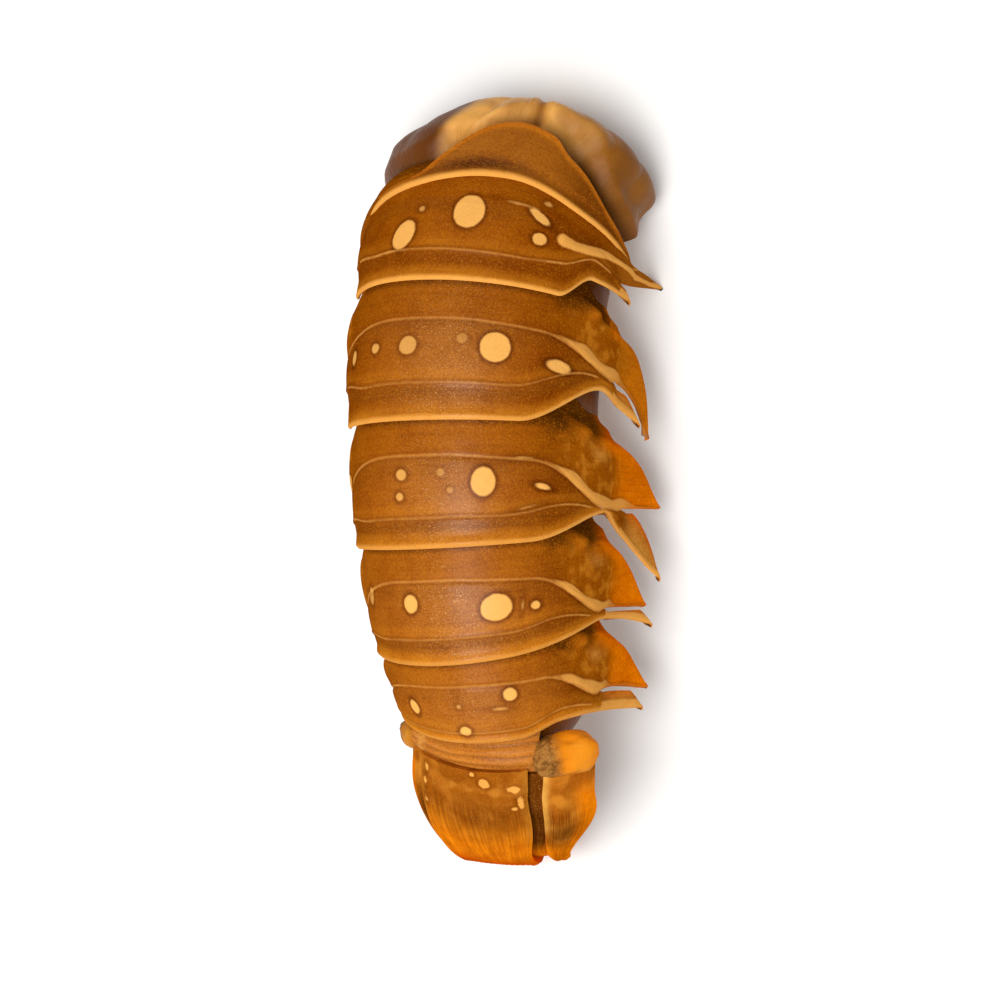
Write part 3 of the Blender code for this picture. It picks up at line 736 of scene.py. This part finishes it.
def ring_paint(ring, part, signed, a, offset, front, behind, before_lip, second, beyond, web, share, places):
    """The large colours of a ring, from the middle of the back to the blades' tips."""
    n = len(a)
    front_part = part in ("facet", "spike")
    # Painted sheen: the middle of the back turns lighter and pinker.
    painted_sheen = PAINTED_SHEEN[ring] * (0.35 if front_part else 1.0)
    colour = layered(
        plain(BROWN, n),
        (SHEEN_TINT, painted_sheen * hump(signed, -2.0, 24.0)),
        # Painted shade down both sides of the back, stronger on the right.
        (DEEP, 0.9 * between(signed, 16.0, 46.0) + 0.7 * between(-signed, 34.0, 72.0)),
        ((0.52, 0.17, 0.018), ORANGE_BROWN[ring] * (1 - between(signed, 30.0, 60.0))),
    )
    if front_part:
        colour = mixed(colour, TAN, 0.35 * (1 - between(behind, -2.5, 0.0)))
        # Painted shadow: a thin dark band behind the joint, under the lip of the ring before.
        colour = mixed(colour, UNDER_LIP_SHADOW, 0.75 * (1 - between(offset, 0.1, 1.5)) * (1 - between(a, 50.0, 66.0)))
    else:
        colour = layered(
            colour,
            (UMBER, 0.7 * hump(second, 1.7, 1.7) * (1 - beyond)),
            (UMBER, 0.35 * hump(behind, 2.2, 1.8) * (1 - beyond)),
            (GLOW, 0.35 * hump(second, -1.6, 1.3) * (1 - beyond)),
            (GLOW, 1.0 * (1 - between(before_lip, 0.6, 4.2)) * (1 - 0.7 * beyond)),
        )
    if ring == 1 and part == "plate":
        colour = mixed(colour, DEEP, 0.5 * hump(second, 2.0, 1.8))
    # Flank of the spike: mottled tan and brown, then orange to the front margin and the tip.
    if front_part and ring > 1:
        flank = between(a, 46.0, 60.0) * (signed > 0) + between(a, 60.0, 80.0) * (signed <= 0)
        mottle = between(ripple(places, 2.2, 3.0) + 0.6 * ripple(places, 1.1, 9.0), -0.1, 0.5)
        tan = mixed(plain((0.40, 0.105, 0.002), n), (0.72, 0.255, 0.018), 0.8 * mottle)
        notch = between(a, 38.0, 48.0) * (1 - between(a, 74.0, 86.0))
        notch = notch * (1 - between(offset, 1.4, 4.6)) * (signed > 0)
        knot = hump(a, 62.0, 5.0) * hump(offset, 1.4, 1.7) + 0.6 * hump(a, 50.0, 3.5) * hump(offset, 2.6, 0.9)
        soft_spot = hump(a, 74.0, 5.5) * hump(offset, front + 4.6, 1.6) * (signed > 0) * (ring > 2)
        colour = layered(
            colour,
            (tan, 0.85 * flank),
            ((0.10, 0.028, 0.002), 0.95 * notch * (0.55 + 0.45 * mottle)),
            ((0.10, 0.028, 0.002), 0.85 * web),
            ((0.56, 0.16, 0.006), 0.9 * knot * (signed > 0)),
            ((0.72, 0.30, 0.05), 0.75 * soft_spot),
        )
    if front_part:
        margin = offset - front
        start = 74.0 if ring > 1 else 200.0
        towards_tip = between(a, start, start + 28.0)
        edge = (1 - between(margin, 1.0, 5.5)) * between(a, start - 6.0, start + 14.0)
        edge = edge * between(margin, -0.4, 0.2)
        glow = np.clip(edge + 0.9 * towards_tip ** 2, 0.0, 1.0) * 0.95 * (1 - web)
        colour = mixed(colour, (1.0, 0.235, 0.0), glow)
        colour = mixed(colour, (1.0, 0.165, 0.0), 0.7 * (1 - between(margin, 0.3, 2.2)) * towards_tip)
    if ring == 2 and part == "spike":
        colour = mixed(colour, (0.56, 0.175, 0.006), 0.7)
    if ring == 1 and front_part:
        colour = mixed(colour, (0.46, 0.15, 0.012), 0.8 * between(a, 60.0, 90.0))
    if part == "tooth":
        front_edge = between(share, 0.75, 0.0)
        colour = layered(
            colour,
            ((0.72, 0.32, 0.05), 0.8 * beyond),
            (ORANGE, 0.5 * front_edge * between(beyond, 0.2, 1.0)),
            (VIVID, 0.6 * between(share, 0.3, 0.0) * beyond * (1.0 if ring == 3 else 0.3)),
        )
    return colour


def ring_piece(ring, shell, lining):
    own = Blades(*RIGHT[ring])
    left = Blades(*RIGHT[ring])
    left.neck, left.lip_from, left.lip_to = LEFT_NECK, LEFT_LIP_FROM, LEFT_NECK
    left.tooth = max(own.tooth, 113.0)
    own.dips_early = ring > 1
    b = {"right": own, "left": left}
    fine = 1.0
    core, front_rows, back_rows, blade = (int(n * fine) for n in (230, 30, 56, 44))
    patches = [
        ring_patch(ring, b, "facet", core, front_rows, None),
        ring_patch(ring, b, "plate", core, back_rows, None),
    ]
    for side in ("right", "left"):
        patches.append(ring_patch(ring, b, "spike", blade, front_rows, side))
        patches.append(ring_patch(ring, b, "tooth", blade, back_rows, side))
    name = f"ring_{ring + 1}"
    return one_piece(name + "_shell", patches, (shell, lining), [name], WALL, flip=True)


def unmarked(count):
    """What the shell's finish reads on a piece without lines, spots or a lip."""
    values = {"line": FAR, "pale": 1.0, "spot": FAR, "clear": 1.0, "lip": 8.0, "lip_pale": 0.0, "sheen": 0.0}
    return {name: np.full(count, value) for name, value in values.items()}


def first_ring(shell, lining):
    """The narrow ring at the cut end, with a thin pale front edge and a dark smudge along its middle."""
    length = RING_LENGTHS[0]

    def shape(u, v):
        signed = 2 * FIRST_REACH * u - FIRST_REACH
        front = first_front(signed)
        back = length + first_sweep(signed) + drawn_line(FIRST_LIP, signed)
        wave = 0.5 * hump(signed, 33.0, 5.0) - 0.45 * hump(signed, 26.0, 4.0) + 0.3 * hump(signed, 60.0, 6.0)
        front = front + wave
        offset = front + (back - front) * v
        before_lip, margin = back - offset, offset - front
        width = np.interp(offset, *WIDTH)
        lift = 0.3 * between(v, 0.8, 1.0) + 0.25 * np.sin(math.pi * v)
        lift += 0.28 * hump(before_lip, 0.9, 0.9) - 0.42 * (1 - between(before_lip, 0.0, 0.75))
        lift += 0.18 * hump(margin, 0.5, 0.4) - 0.3 * (1 - between(margin, 0.0, 0.4))
        lift -= 0.35 * hump(before_lip, 3.4, 1.2)
        places = on_shell(offset, signed, lift)
        lift += ripple(places, 8.0, 5.0) * 0.12 + ripple(places, 3.0, 1.0) * 0.05
        places = on_shell(offset, signed, lift)
        smudge = hump(before_lip, 3.4, 1.7) * hump(signed, -4.0, 24.0)
        # Over the brown: painted sheen over the middle, painted shade on the right side, a dark smudge, then
        # the lighter lip and the pale front edge.
        colour = layered(
            plain((0.40, 0.12, 0.008), len(u)),
            (SHEEN_TINT, 0.5 * hump(signed, -10.0, 35.0)),
            ((0.21, 0.055, 0.004), between(signed, 24.0, 50.0) * 0.8),
            ((0.10, 0.028, 0.010), 0.95 * smudge),
            (GLOW, 0.8 * (1 - between(before_lip, 0.8, 2.0))),
            ((0.66, 0.20, 0.012), 0.9 * (1 - between(margin, 0.6, 2.6))),
        )
        painted = {
            **unmarked(len(u)), "paint": colour, "pale": np.full(len(u), 0.6),
            "line": np.clip(np.abs(margin - 0.25) - 0.2, -1.0, FAR),
            "lip": np.clip(before_lip * 0.75, 0.0, 8.0), "lip_pale": np.full(len(u), 0.95),
            "flat": np.stack([np.radians(signed) * width, offset], 1),
        }
        return places, painted

    patch = sheet_of_grid(230, 30, shape)
    return one_piece("ring_1_shell", [patch], (shell, lining), ["ring_1"], WALL, flip=True)


# The band's left edge and width across, and its start and length along the back line.
COLLAR_LEFT, COLLAR_WIDTH = -16.6, 30.4
COLLAR_START, COLLAR_LENGTH = RINGS_END - 2.0, 10.5


def collar(shell, lining):
    """The short ridged band between the last ring and the fan."""

    def shape(u, v):
        across = COLLAR_LEFT + COLLAR_WIDTH * u
        along = COLLAR_START + COLLAR_LENGTH * v
        lift = -2.4 + 1.9 * between(v, 0.15, 0.7) - 1.3 * between(v, 0.80, 0.92)
        waviness = ripple(np.stack([across, along * 3, across * 0], 1), 6.0)
        wrinkles = np.sin(v * 30.0 + 0.8 * waviness)
        lift += 0.22 * wrinkles * between(v, 0.15, 0.3)
        places = on_fan(along, across, lift)
        # Painted shade in the furrows that cross the band, and painted shadow at its front, under the last
        # ring's lip.
        furrows = between(wrinkles, 0.0, -1.0)
        colour = mixed(plain((0.62, 0.215, 0.026), len(u)), (0.24, 0.07, 0.006), furrows * 0.6)
        colour = mixed(colour, UNDER_LIP_SHADOW, 0.8 * (1 - between(v, 0.15, 0.35)))
        colour = mixed(colour, (0.78, 0.36, 0.07), 0.8 * hump(across, -13.4, 1.2))
        painted = {
            **unmarked(len(u)), "paint": colour, "sheen": np.full(len(u), 0.5),
            "flat": np.stack([across, along], 1),
        }
        return places, painted

    patch = sheet_of_grid(70, 36, shape)
    return one_piece("collar", [patch], (shell, lining), ["hinge"], 1.0, flip=True)


FAN_START, FAN_END = RINGS_END + 7.0, 212.0
TELSON_LEFT, TELSON_RIGHT = (-13.2, -13.9, -11.2, -9.4, -8.4), (12.6, 12.4, 8.0, 6.4, 5.6)
SIDE_INNER = {"right": (15.4, 14.5, 11.7, 9.2, 7.6), "left": (12.4, 12.0, 9.4, 7.4, 6.4)}
SIDE_OUTER = {"right": (24.2, 24.6, 16.6, 12.8, 10.8), "left": (18.0, 18.2, 13.2, 10.6, 9.4)}
SIDE_START = 144.6
# Station, place across, and half sizes across and along in mm.
TELSON_SPOTS = (
    (146.2, 3.6, 1.25, 1.3), (143.9, 1.0, 0.6, 0.6), (146.8, -11.4, 0.5, 1.2), (151.5, -12.2, 0.45, 1.0),
    (157.0, -12.4, 0.4, 0.8), (147.3, 9.9, 1.5, 0.8), (150.6, 11.3, 0.6, 1.6), (152.5, 9.8, 0.7, 0.5),
)
SPINES = [(side * x, y) for side in (1, -1) for x, y in ((10.6, 148.5), (11.4, 153.5))]


def fan_lobe(name, start, end, inner, outer, lift, thick, columns, paint, finish, lining, nodes):
    """One lobe of the fan between its inner and outer margins, from base to tip."""
    places_at = np.linspace(0.0, 1.0, len(outer))
    margins = [soft_margin(places_at, values) for values in (inner, outer)]

    def shape(u, v):
        share = 1 - (1 - v) ** 1.15
        along = start + (end - start) * share
        near, far = (np.interp(share, *margin) for margin in margins)
        middle, half = (near + far) / 2, (far - near) / 2
        half = half * np.sqrt(np.maximum(1 - np.maximum(0.0, (share - 0.86) / 0.145) ** 2, 0.004))
        side = 2 * u - 1
        across = middle + half * side
        edge = (1 - np.abs(side)) * half
        # Fine ribs that fan out, a rounded margin and a little waviness.
        rib = np.sin(side * 46.0 + 1.3 * ripple(np.stack([across, along * 0.4, across * 0], 1), 8.0))
        ribbed = between(share, 0.10, 0.22) * between(edge, 0.3, 1.6)
        high = lift + 0.07 * rib * ribbed
        high = high - 0.40 * (1 - between(edge, 0.0, 0.8))
        high = high + 0.14 * hump(edge, 1.2, 0.6)
        high = high + paint["relief"](across, along, side, edge, share)
        places = on_fan(along, across, high)
        high = high + 0.08 * ripple(places, 6.0, 4.0)
        places = on_fan(along, across, high)
        colour, spot = paint["colour"](across, along, side, edge, share, places)
        painted = {
            "paint": colour, "spot": spot, "ribbed": ribbed * between(along, 206.0, 150.0) ** 0.3,
            "flat": np.stack([side * 12.0, along], 1),
        }
        return places, painted

    rows = 190
    patch = sheet_of_grid(columns, rows, shape)
    return one_piece(name + "_plate", [patch], (finish, lining), nodes, thick, flip=True)


def soft_margin(places_at, values):
    fine = np.linspace(0.0, 1.0, 101)
    drawn = np.interp(fine, places_at, values)
    padded = np.pad(drawn, 8, mode="edge")
    return fine, np.convolve(padded, np.ones(17) / 17, "valid")


def dark_band(colour, along, half, amount, places):
    """The brown band that crosses a lobe near its end."""
    patches = between(ripple(places, 3.0, 1.0), -0.4, 0.5)
    return mixed(colour, (0.26, 0.07, 0.006), amount * hump(along, 197.0, half) * patches)


def telson_relief(across, along, side, edge, share):
    spines = sum(hump(across, x, 0.7) * hump(along, y, 1.0) for x, y in SPINES)
    base = 0.5 * hump(along, 144.5, 1.6) * hump(side, 0.0, 0.75) - 0.25 * hump(along, 147.8, 1.1)
    hollow = -0.5 * hump(side, 0.0, 0.35) * between(share, 0.02, 0.2) * (1 - between(share, 0.4, 0.7))
    return 0.7 * spines + base * 0.5 + hollow * 0.5


def telson_colour(across, along, side, edge, share, places):
    n = len(across)
    patches = between(ripple(places, 4.0, 7.0) + 0.5 * ripple(places, 1.8, 2.0), -0.2, 0.6)
    pale_base = 0.6 * hump(along, 148.5, 2.6) * between(ripple(places, 2.0, 5.0), 0.0, 0.7)
    margin = 0.6 * (1 - between(edge, 0.3, 1.8)) * (1 - between(along, 160.0, 170.0))
    colour = layered(
        plain((0.38, 0.105, 0.005), n),
        ((0.52, 0.165, 0.014), patches),
        ((0.30, 0.085, 0.006), 0.5 * hump(along, 155.0, 5.0) * hump(side, 0.25, 0.55)),
        ((0.70, 0.27, 0.03), pale_base),
        ((0.78, 0.235, 0.008), between(along + 3.0 * np.abs(side), 157.0, 167.0)),
        ((1.0, 0.275, 0.004), between(along + 3.0 * np.abs(side), 163.0, 171.0) * 0.95),
        ((0.84, 0.135, 0.0), between(along, 172.0, 181.0)),
        ((0.60, 0.22, 0.02), margin),
    )
    colour = dark_band(colour, along, 5.0, 0.55, places)
    spot = np.full(n, FAR)
    for y, x, half_across, half_along in TELSON_SPOTS:
        size = np.sqrt(((across - x) / half_across) ** 2 + ((along - y) / half_along) ** 2)
        spot = np.minimum(spot, (size - 1) * min(half_across, half_along))
    return colour, spot


def side_relief(across, along, side, edge, share):
    return 0.9 * hump(side, -0.1, 0.55) * between(share, 0.0, 0.15) * (1 - between(share, 0.45, 0.7)) - 0.2


def side_colour(which, outward):
    """Colours of a side lobe: pale inner margin, brown middle with a dark striated patch, orange outside."""

    def colours(across, along, side, edge, share, places):
        n = len(across)
        out = side * outward
        patches = between(ripple(places, 3.6, 2.0) + 0.5 * ripple(places, 1.6, 5.0), -0.3, 0.5)
        margin = 0.85 * between(out, -0.55, -0.95) * (1 - between(along, 158.0, 166.0))
        stripe = hump(along, 163.0 if which == "exopod" else 158.0, 3.4) * hump(out, -0.1, 0.6)
        colour = layered(
            plain((0.44, 0.125, 0.007), n),
            ((0.64, 0.22, 0.02), patches),
            ((0.96, 0.255, 0.001), between(out, 0.1, 0.75) * between(share, 0.02, 0.12)),
            ((0.90, 0.46, 0.09), margin),
            ((0.20, 0.055, 0.003), 0.8 * stripe),
            ((0.96, 0.260, 0.001), between(along, 165.0, 173.0)),
        )
        colour = dark_band(colour, along, 4.5, 0.5, places)
        # Painted shade over the endopod where it lies under the exopod, fading out towards its tip.
        if which == "endopod":
            colour = mixed(colour, (0.12, 0.030, 0.002), 0.9 * (1 - between(along, 168.0, 180.0)))
        spot = np.full(n, FAR)
        if which == "exopod":
            for k in range(5):
                y = 151.0 + 4.2 * k
                size = np.hypot((edge - 0.9) / 0.7, (along - y) / 1.1)
                if outward < 0:
                    spot = np.where(out < 0, np.minimum(spot, (size - 1) * 0.7 + 0.15 * k), spot)
        return colour, spot

    return colours


def knuckle(name, along, across, lift, size, lumps, finish, nodes):
    """A stout joint at the fan's base, an uneven ball with lumps."""
    bpy.ops.object.select_all(action="DESELECT")
    bpy.ops.mesh.primitive_ico_sphere_add(subdivisions=6, radius=1.0)
    piece = bpy.context.object
    mesh = piece.data
    ball = points_of(mesh)
    ball /= np.linalg.norm(ball, axis=1)[:, None]
    station, side = np.array([along]), np.array([across])
    origin, beside = on_fan(station, side, np.array([lift])), on_fan(station, side + 0.5, np.array([lift]))
    right = unit((beside - origin)[0])
    heading = axes_at(station)[1][0]
    above = unit(np.cross(heading, right))
    boxy = np.sign(ball) * np.abs(ball) ** 0.85
    reach = 1 + 0.05 * ripple(ball * 6.0, 3.0) + 0.015 * ripple(ball * 6.0, 0.9)
    colour = plain((0.82, 0.235, 0.004) if across > 0 else (0.44, 0.15, 0.012), len(ball))
    for direction, wide, high in lumps:
        away = np.arccos(np.clip(ball @ unit(np.asarray(direction, float)), -1, 1))
        reach = reach + high * hump(away, 0.0, wide)
    rough = between(ball[:, 0], 0.0, -0.45)
    reach = reach + 0.035 * ripple(ball * 6.0, 1.1, 3.0) * rough
    shine = 0.35 * hump(ball[:, 0], 0.35, 0.3) * between(ball[:, 2], 0.3, 0.8)
    # Grey-tan on the pitted side, painted shade on the side towards the tail's end and a painted highlight
    # high on the right.
    colour = layered(
        colour,
        ((0.40, 0.17, 0.035), rough),
        ((0.55, 0.17, 0.008), 0.7 * between(ball[:, 1], 0.35, 0.8)),
        ((0.92, 0.38, 0.03), shine),
    )
    spot = boxy * np.asarray(size) * reach[:, None]
    places = origin + right * spot[:, :1] + heading * spot[:, 1:2] + above * spot[:, 2:]
    move_points(mesh, places)
    paint_points(mesh, "paint", colour)
    paint_points(mesh, "rough", rough)
    mesh.update()
    bpy.ops.object.mode_set(mode="EDIT")
    bpy.ops.mesh.select_all(action="SELECT")
    bpy.ops.mesh.normals_make_consistent(inside=False)
    bpy.ops.object.mode_set(mode="OBJECT")
    return one_piece(name + "_knuckle", [piece], (finish,), nodes)


# Stations where the meat starts, where its front and back begin to round off, and where it ends, the
# length of its dome, and the spacing of the belly's ribs.
MEAT_START, FRONT_CAP, BACK_CAP, MEAT_END = -17.2, 3.0, 136.0, 148.5
DOME_LENGTH, RIB_SPACING = 30.0, 26.0

# Angle round the dome, half width in degrees, and depth in mm.
MEAT_CREASES = (
    (84.0, 4.0, 1.6), (42.0, 5.0, 1.2), (62.0, 3.0, 0.5),
    (20.0, 4.0, 0.9), (108.0, 3.5, 1.2), (140.0, 5.0, 1.0),
)


def meat(finish):
    """The meat: a rounded dome at the cut end, then the filling of the shell and the ribbed belly."""
    front_rows, rows = 80, 200

    def shape(u, v):
        row = v * rows
        filling = MEAT_START + DOME_LENGTH
        along = np.where(
            row < front_rows, MEAT_START + DOME_LENGTH * (row / front_rows) ** 1.15,
            filling + (MEAT_END - filling) * (row - front_rows) / (rows - front_rows),
        )
        turn = u * 2 * math.pi
        angle = np.degrees(turn)
        to_front = np.maximum(0.0, FRONT_CAP - along) / (FRONT_CAP - MEAT_START)
        to_back = np.maximum(0.0, along - BACK_CAP) / (MEAT_END - BACK_CAP)
        front_cap = np.maximum(1 - to_front ** 3.2, 0.0) ** 0.5
        back_cap = np.sqrt(np.maximum(1 - to_back ** 2, 0.0)) * 0.98 + 0.02
        share = front_cap * np.where(along > BACK_CAP, back_cap, 1.0)
        point, _, right, up = axes_at(along)
        width = np.interp(along, *WIDTH)
        high = width * ARCH
        belly = 5.5 + 1.1 * np.cos((along - JOINTS[1]) * 2 * math.pi / RIB_SPACING)
        point = point + right * (4.0 * between(-along, 0.0, 9.0))[:, None]
        middle = point - up * (high * 0.62)[:, None]
        out, rise = np.cos(turn), np.sin(turn)
        top_swell = between((first_front(90.0 - angle) - 3.2 - along) / 6.0, 0.0, 1.0)
        low_front = first_front(np.array([90.0])) - 6.0 - 5.0 * np.minimum(1.0, -3 * rise)
        low_swell = between((low_front - along) / 6.0, 0.0, 1.0)
        swell = np.where(rise >= 0, top_swell, low_swell)
        depth = CORE_DEPTH * (1 - swell) - 1.0 * swell * (out > 0)
        top = (high - depth) * rise - high
        bottom = belly * rise * (1 - 0.35 * rise * rise) - high
        spot = right * ((width - depth) * out)[:, None] + up * np.where(rise >= 0, top, bottom)[:, None]
        outward = point + spot - middle
        reach = np.linalg.norm(outward, axis=1)[:, None]
        # Creases part the dome into muscles, and fibres run out of it.
        dome = between(along, 6.0, -4.0)
        crease = 0.0
        for at, wide, deep in MEAT_CREASES:
            crease = crease + deep * hump(angle, at, wide)
        rough = middle + outward * share[:, None]
        lift = -dome * crease * between(share, 0.1, 0.5) + dome * 0.45 * ripple(rough, 7.0, 1.0)
        lift = lift + 0.12 * ripple(rough, 2.6, 4.0)
        from_rib = (along - JOINTS[1] + RIB_SPACING / 2) % RIB_SPACING - RIB_SPACING / 2
        ribs = hump(from_rib, 0.0, 2.6) * between(rise, -0.1, -0.5) * between(along, 8.0, 16.0)
        lift = lift + 0.8 * ribs
        places = rough + outward / reach * (lift * between(share, 0.0, 0.3))[:, None]
        cloud = between(ripple(rough, 6.0, 8.0) + 0.5 * ripple(rough, 2.5, 1.0), -0.3, 0.6)
        # Painted shade down the meat's right side.
        right_side = np.clip(between(angle, 78.0, 34.0) + between(angle, 300.0, 330.0), 0.0, 1.0)
        seams = hump(angle, 84.0, 3.0) + 0.8 * hump(angle, 42.0, 5.0)
        skin = between(angle + 5.0 * ripple(rough, 9.0, 2.0), 112.0, 122.0)
        skin = skin * (1 - between(angle, 215.0, 250.0))
        # Painted shade where the meat goes in under the shell: darker near the shell's front edge, and dark
        # over its top and sides inside the shell.
        near_shell = between(along, -2.0, 6.0) * (rise > 0) * (1 - skin) * (1 - right_side)
        inside = between(along, 9.0, 16.0)
        under = between(rise, -0.05, -0.25) * between(along, 2.0, 12.0)
        colour = layered(
            plain(MEAT, len(u)),
            ((0.50, 0.22, 0.05), 0.55 * cloud),
            ((0.22, 0.072, 0.006), 0.92 * right_side ** 0.6),
            (MEAT_BROWN, 0.9 * np.clip(seams, 0.0, 1.0)),
            ((0.12, 0.027, 0.001), 0.94 * skin),
            ((0.42, 0.17, 0.02), 0.5 * near_shell),
            ((0.20, 0.052, 0.003), inside * between(rise, -0.15, 0.1)),
            ((0.50, 0.24, 0.07), 0.8 * under * (1 - ribs)),
            ((0.58, 0.25, 0.05), 0.8 * ribs),
        )
        painted = {"paint": colour, "flat": np.stack([angle * 0.5, along], 1)}
        return places, painted

    patch = sheet_of_grid(300, rows, shape)
    return one_piece("meat", [patch], (finish,), ["flesh"])


# How far below the shell's widest level the leaves start, and how far to each side of its middle.
LEAF_DROP, LEAF_APART = 3.8, 12.5


def leaf(name, along, side, phase, finish):
    """A soft leaf under the belly, leaning back, with a frayed edge."""
    station = np.array([along])
    point, heading, right, up = (part[0] for part in axes_at(station))
    high = float(np.interp(along, *WIDTH)) * ARCH
    root = point - up * (high + LEAF_DROP) + right * side * LEAF_APART
    down = unit(heading * 0.75 - up * 0.55 + right * side * 0.12)
    wide = unit(right * side * 0.9 + heading * 0.25)
    out = unit(np.cross(down, wide))

    def shape(u, v):
        half = 4.8 * np.sin(math.pi * np.minimum(0.12 + 0.8 * v, 0.96)) + 0.4
        k = 2 * u - 1
        fray = 0.25 * np.sin(v * 60.0 + phase) * between(np.abs(k), 0.8, 1.0)
        wave = 0.7 * np.sin(3.0 * v + 2.0 * k + phase) * v + 0.25 * hump(k, 0.0, 0.15)
        places = root + down * (15.0 * v)[:, None] + wide * ((half + fray) * k)[:, None] + out * wave[:, None]
        return places, {"flat": np.stack([k * 4.0, v * 15.0], 1)}

    patch = sheet_of_grid(24, 60, shape)
    return one_piece(name + "_leaf", [patch], (finish,), [name], 0.6, flip=side > 0)


shell, lining = shell_finish(), lining_finish()
fan, meat_skin, joint, soft_leaf = fan_finish(), meat_finish(), knuckle_finish(), leaf_finish()
first_ring(shell, lining)
for ring in RIGHT:
    ring_piece(ring, shell, lining)
collar(shell, lining)
telson = {"relief": telson_relief, "colour": telson_colour}
fan_lobe(
    "telson", FAN_START, FAN_END, TELSON_LEFT, TELSON_RIGHT, 0.1, 1.3, 90, telson, fan, lining, ["telson"]
)
for name, side in (("right", 1), ("left", -1)):
    inner = [side * across for across in SIDE_INNER[name]]
    outer = [side * across for across in SIDE_OUTER[name]]
    under = [across - side * 2.5 for across in outer]
    near = [side * 3.5] * 5
    high = -0.2 if side > 0 else -1.5
    spans = {
        "exopod": (SIDE_START, 208.0, inner, outer, high, 1.1),
        "endopod": (SIDE_START + 0.2, 209.5, near, under, high - 1.5, 1.0),
    }
    for which, (first, last, inside, outside, lift, thick) in spans.items():
        left_edge, right_edge = (inside, outside) if side > 0 else (outside, inside)
        relief = side_relief if which == "exopod" else lambda *_: 0.0
        paint = {"relief": relief, "colour": side_colour(which, side)}
        node = f"{which}_{name}"
        fan_lobe(node, first, last, left_edge, right_edge, lift, thick, 50, paint, fan, lining, [node])
# Each lump's direction, how wide it is and how high.
right_lumps = (
    ((0.75, -0.25, 0.7), 0.50, 0.20), ((0.55, 0.75, 0.5), 0.40, 0.12), ((-0.75, 0.2, 0.7), 0.45, 0.16),
    ((-0.35, -0.85, 0.5), 0.35, 0.16), ((-0.1, 0.1, 1.0), 0.24, -0.20), ((0.1, -0.9, 0.5), 0.22, -0.14),
    ((0.2, 0.8, 0.7), 0.25, -0.08),
)
left_lumps = (((0.5, 0.0, 0.8), 0.6, 0.10),)
knuckle("protopod_right", 141.3, 18.9, -1.6, (7.0, 4.8, 4.0), right_lumps, joint, ["protopod_right"])
knuckle("protopod_left", 142.4, -17.6, -3.0, (3.6, 3.0, 2.8), left_lumps, joint, ["protopod_left"])
meat(meat_skin)
for pair, along in enumerate(MIDDLES[1:5]):
    leaf(f"swimmeret_{pair + 1}_right", along, 1, 1.0 + pair, soft_leaf)
    leaf(f"swimmeret_{pair + 1}_left", along, -1, 3.0 + pair, soft_leaf)


def floor():
    bpy.ops.object.select_all(action="DESELECT")
    bpy.ops.mesh.primitive_plane_add(size=6.0, location=(0.0, 0.0, -0.0004))
    ground = bpy.context.object
    ground.name = "floor"
    white = (1.0, 1.0, 1.0, 1.0)
    f = Finish("floor_finish", {"Roughness": 0.7, "Emission Color": white, "Emission Strength": 0.14})
    ground.data.materials.append(f.done((0.90, 0.90, 0.90, 1.0)))


def lamp(name, place, aim, size, power, colour=(1.0, 1.0, 1.0)):
    light = bpy.data.lights.new(name, "AREA")
    light.shape, light.size, light.energy, light.color = "DISK", size, power, colour
    thing = bpy.data.objects.new(name, light)
    thing.location = place
    thing.rotation_euler = (Vector(aim) - Vector(place)).to_track_quat("-Z", "Y").to_euler()
    bpy.context.collection.objects.link(thing)


def camera():
    """Looks down on the tail from a little to its right."""
    roll, tilt, away = math.radians(15.0), Matrix.Rotation(math.radians(-4.6), 3, "X"), 0.75
    back = tilt @ Vector((math.sin(roll), 0.0, math.cos(roll)))
    right = tilt @ Vector((math.cos(roll), 0.0, -math.sin(roll)))
    up = tilt @ Vector((0.0, 1.0, 0.0))
    aim = Vector((0.002, -0.001, 0.027))
    data = bpy.data.cameras.new("camera")
    data.sensor_width = 36.0
    data.lens = 124.0
    thing = bpy.data.objects.new("camera", data)
    turned = Matrix((right, up, back)).transposed().to_4x4()
    turned.translation = aim + back * away
    thing.matrix_world = turned
    bpy.context.collection.objects.link(thing)
    bpy.context.scene.camera = thing


floor()
lamp("key", (-0.06, -0.06, 0.85), (0.0, 0.0, 0.02), 0.55, 6.4, (1.0, 0.98, 0.95))
lamp("fill", (-0.05, -0.55, 0.60), (0.0, 0.0, 0.02), 0.7, 1.2)
world = bpy.data.worlds.new("world")
world.use_nodes = True
world.node_tree.nodes["Background"].inputs["Color"].default_value = (1.0, 1.0, 1.0, 1.0)
world.node_tree.nodes["Background"].inputs["Strength"].default_value = 0.24
bpy.context.scene.world = world
bpy.context.scene.view_settings.view_transform = "Standard"
camera()
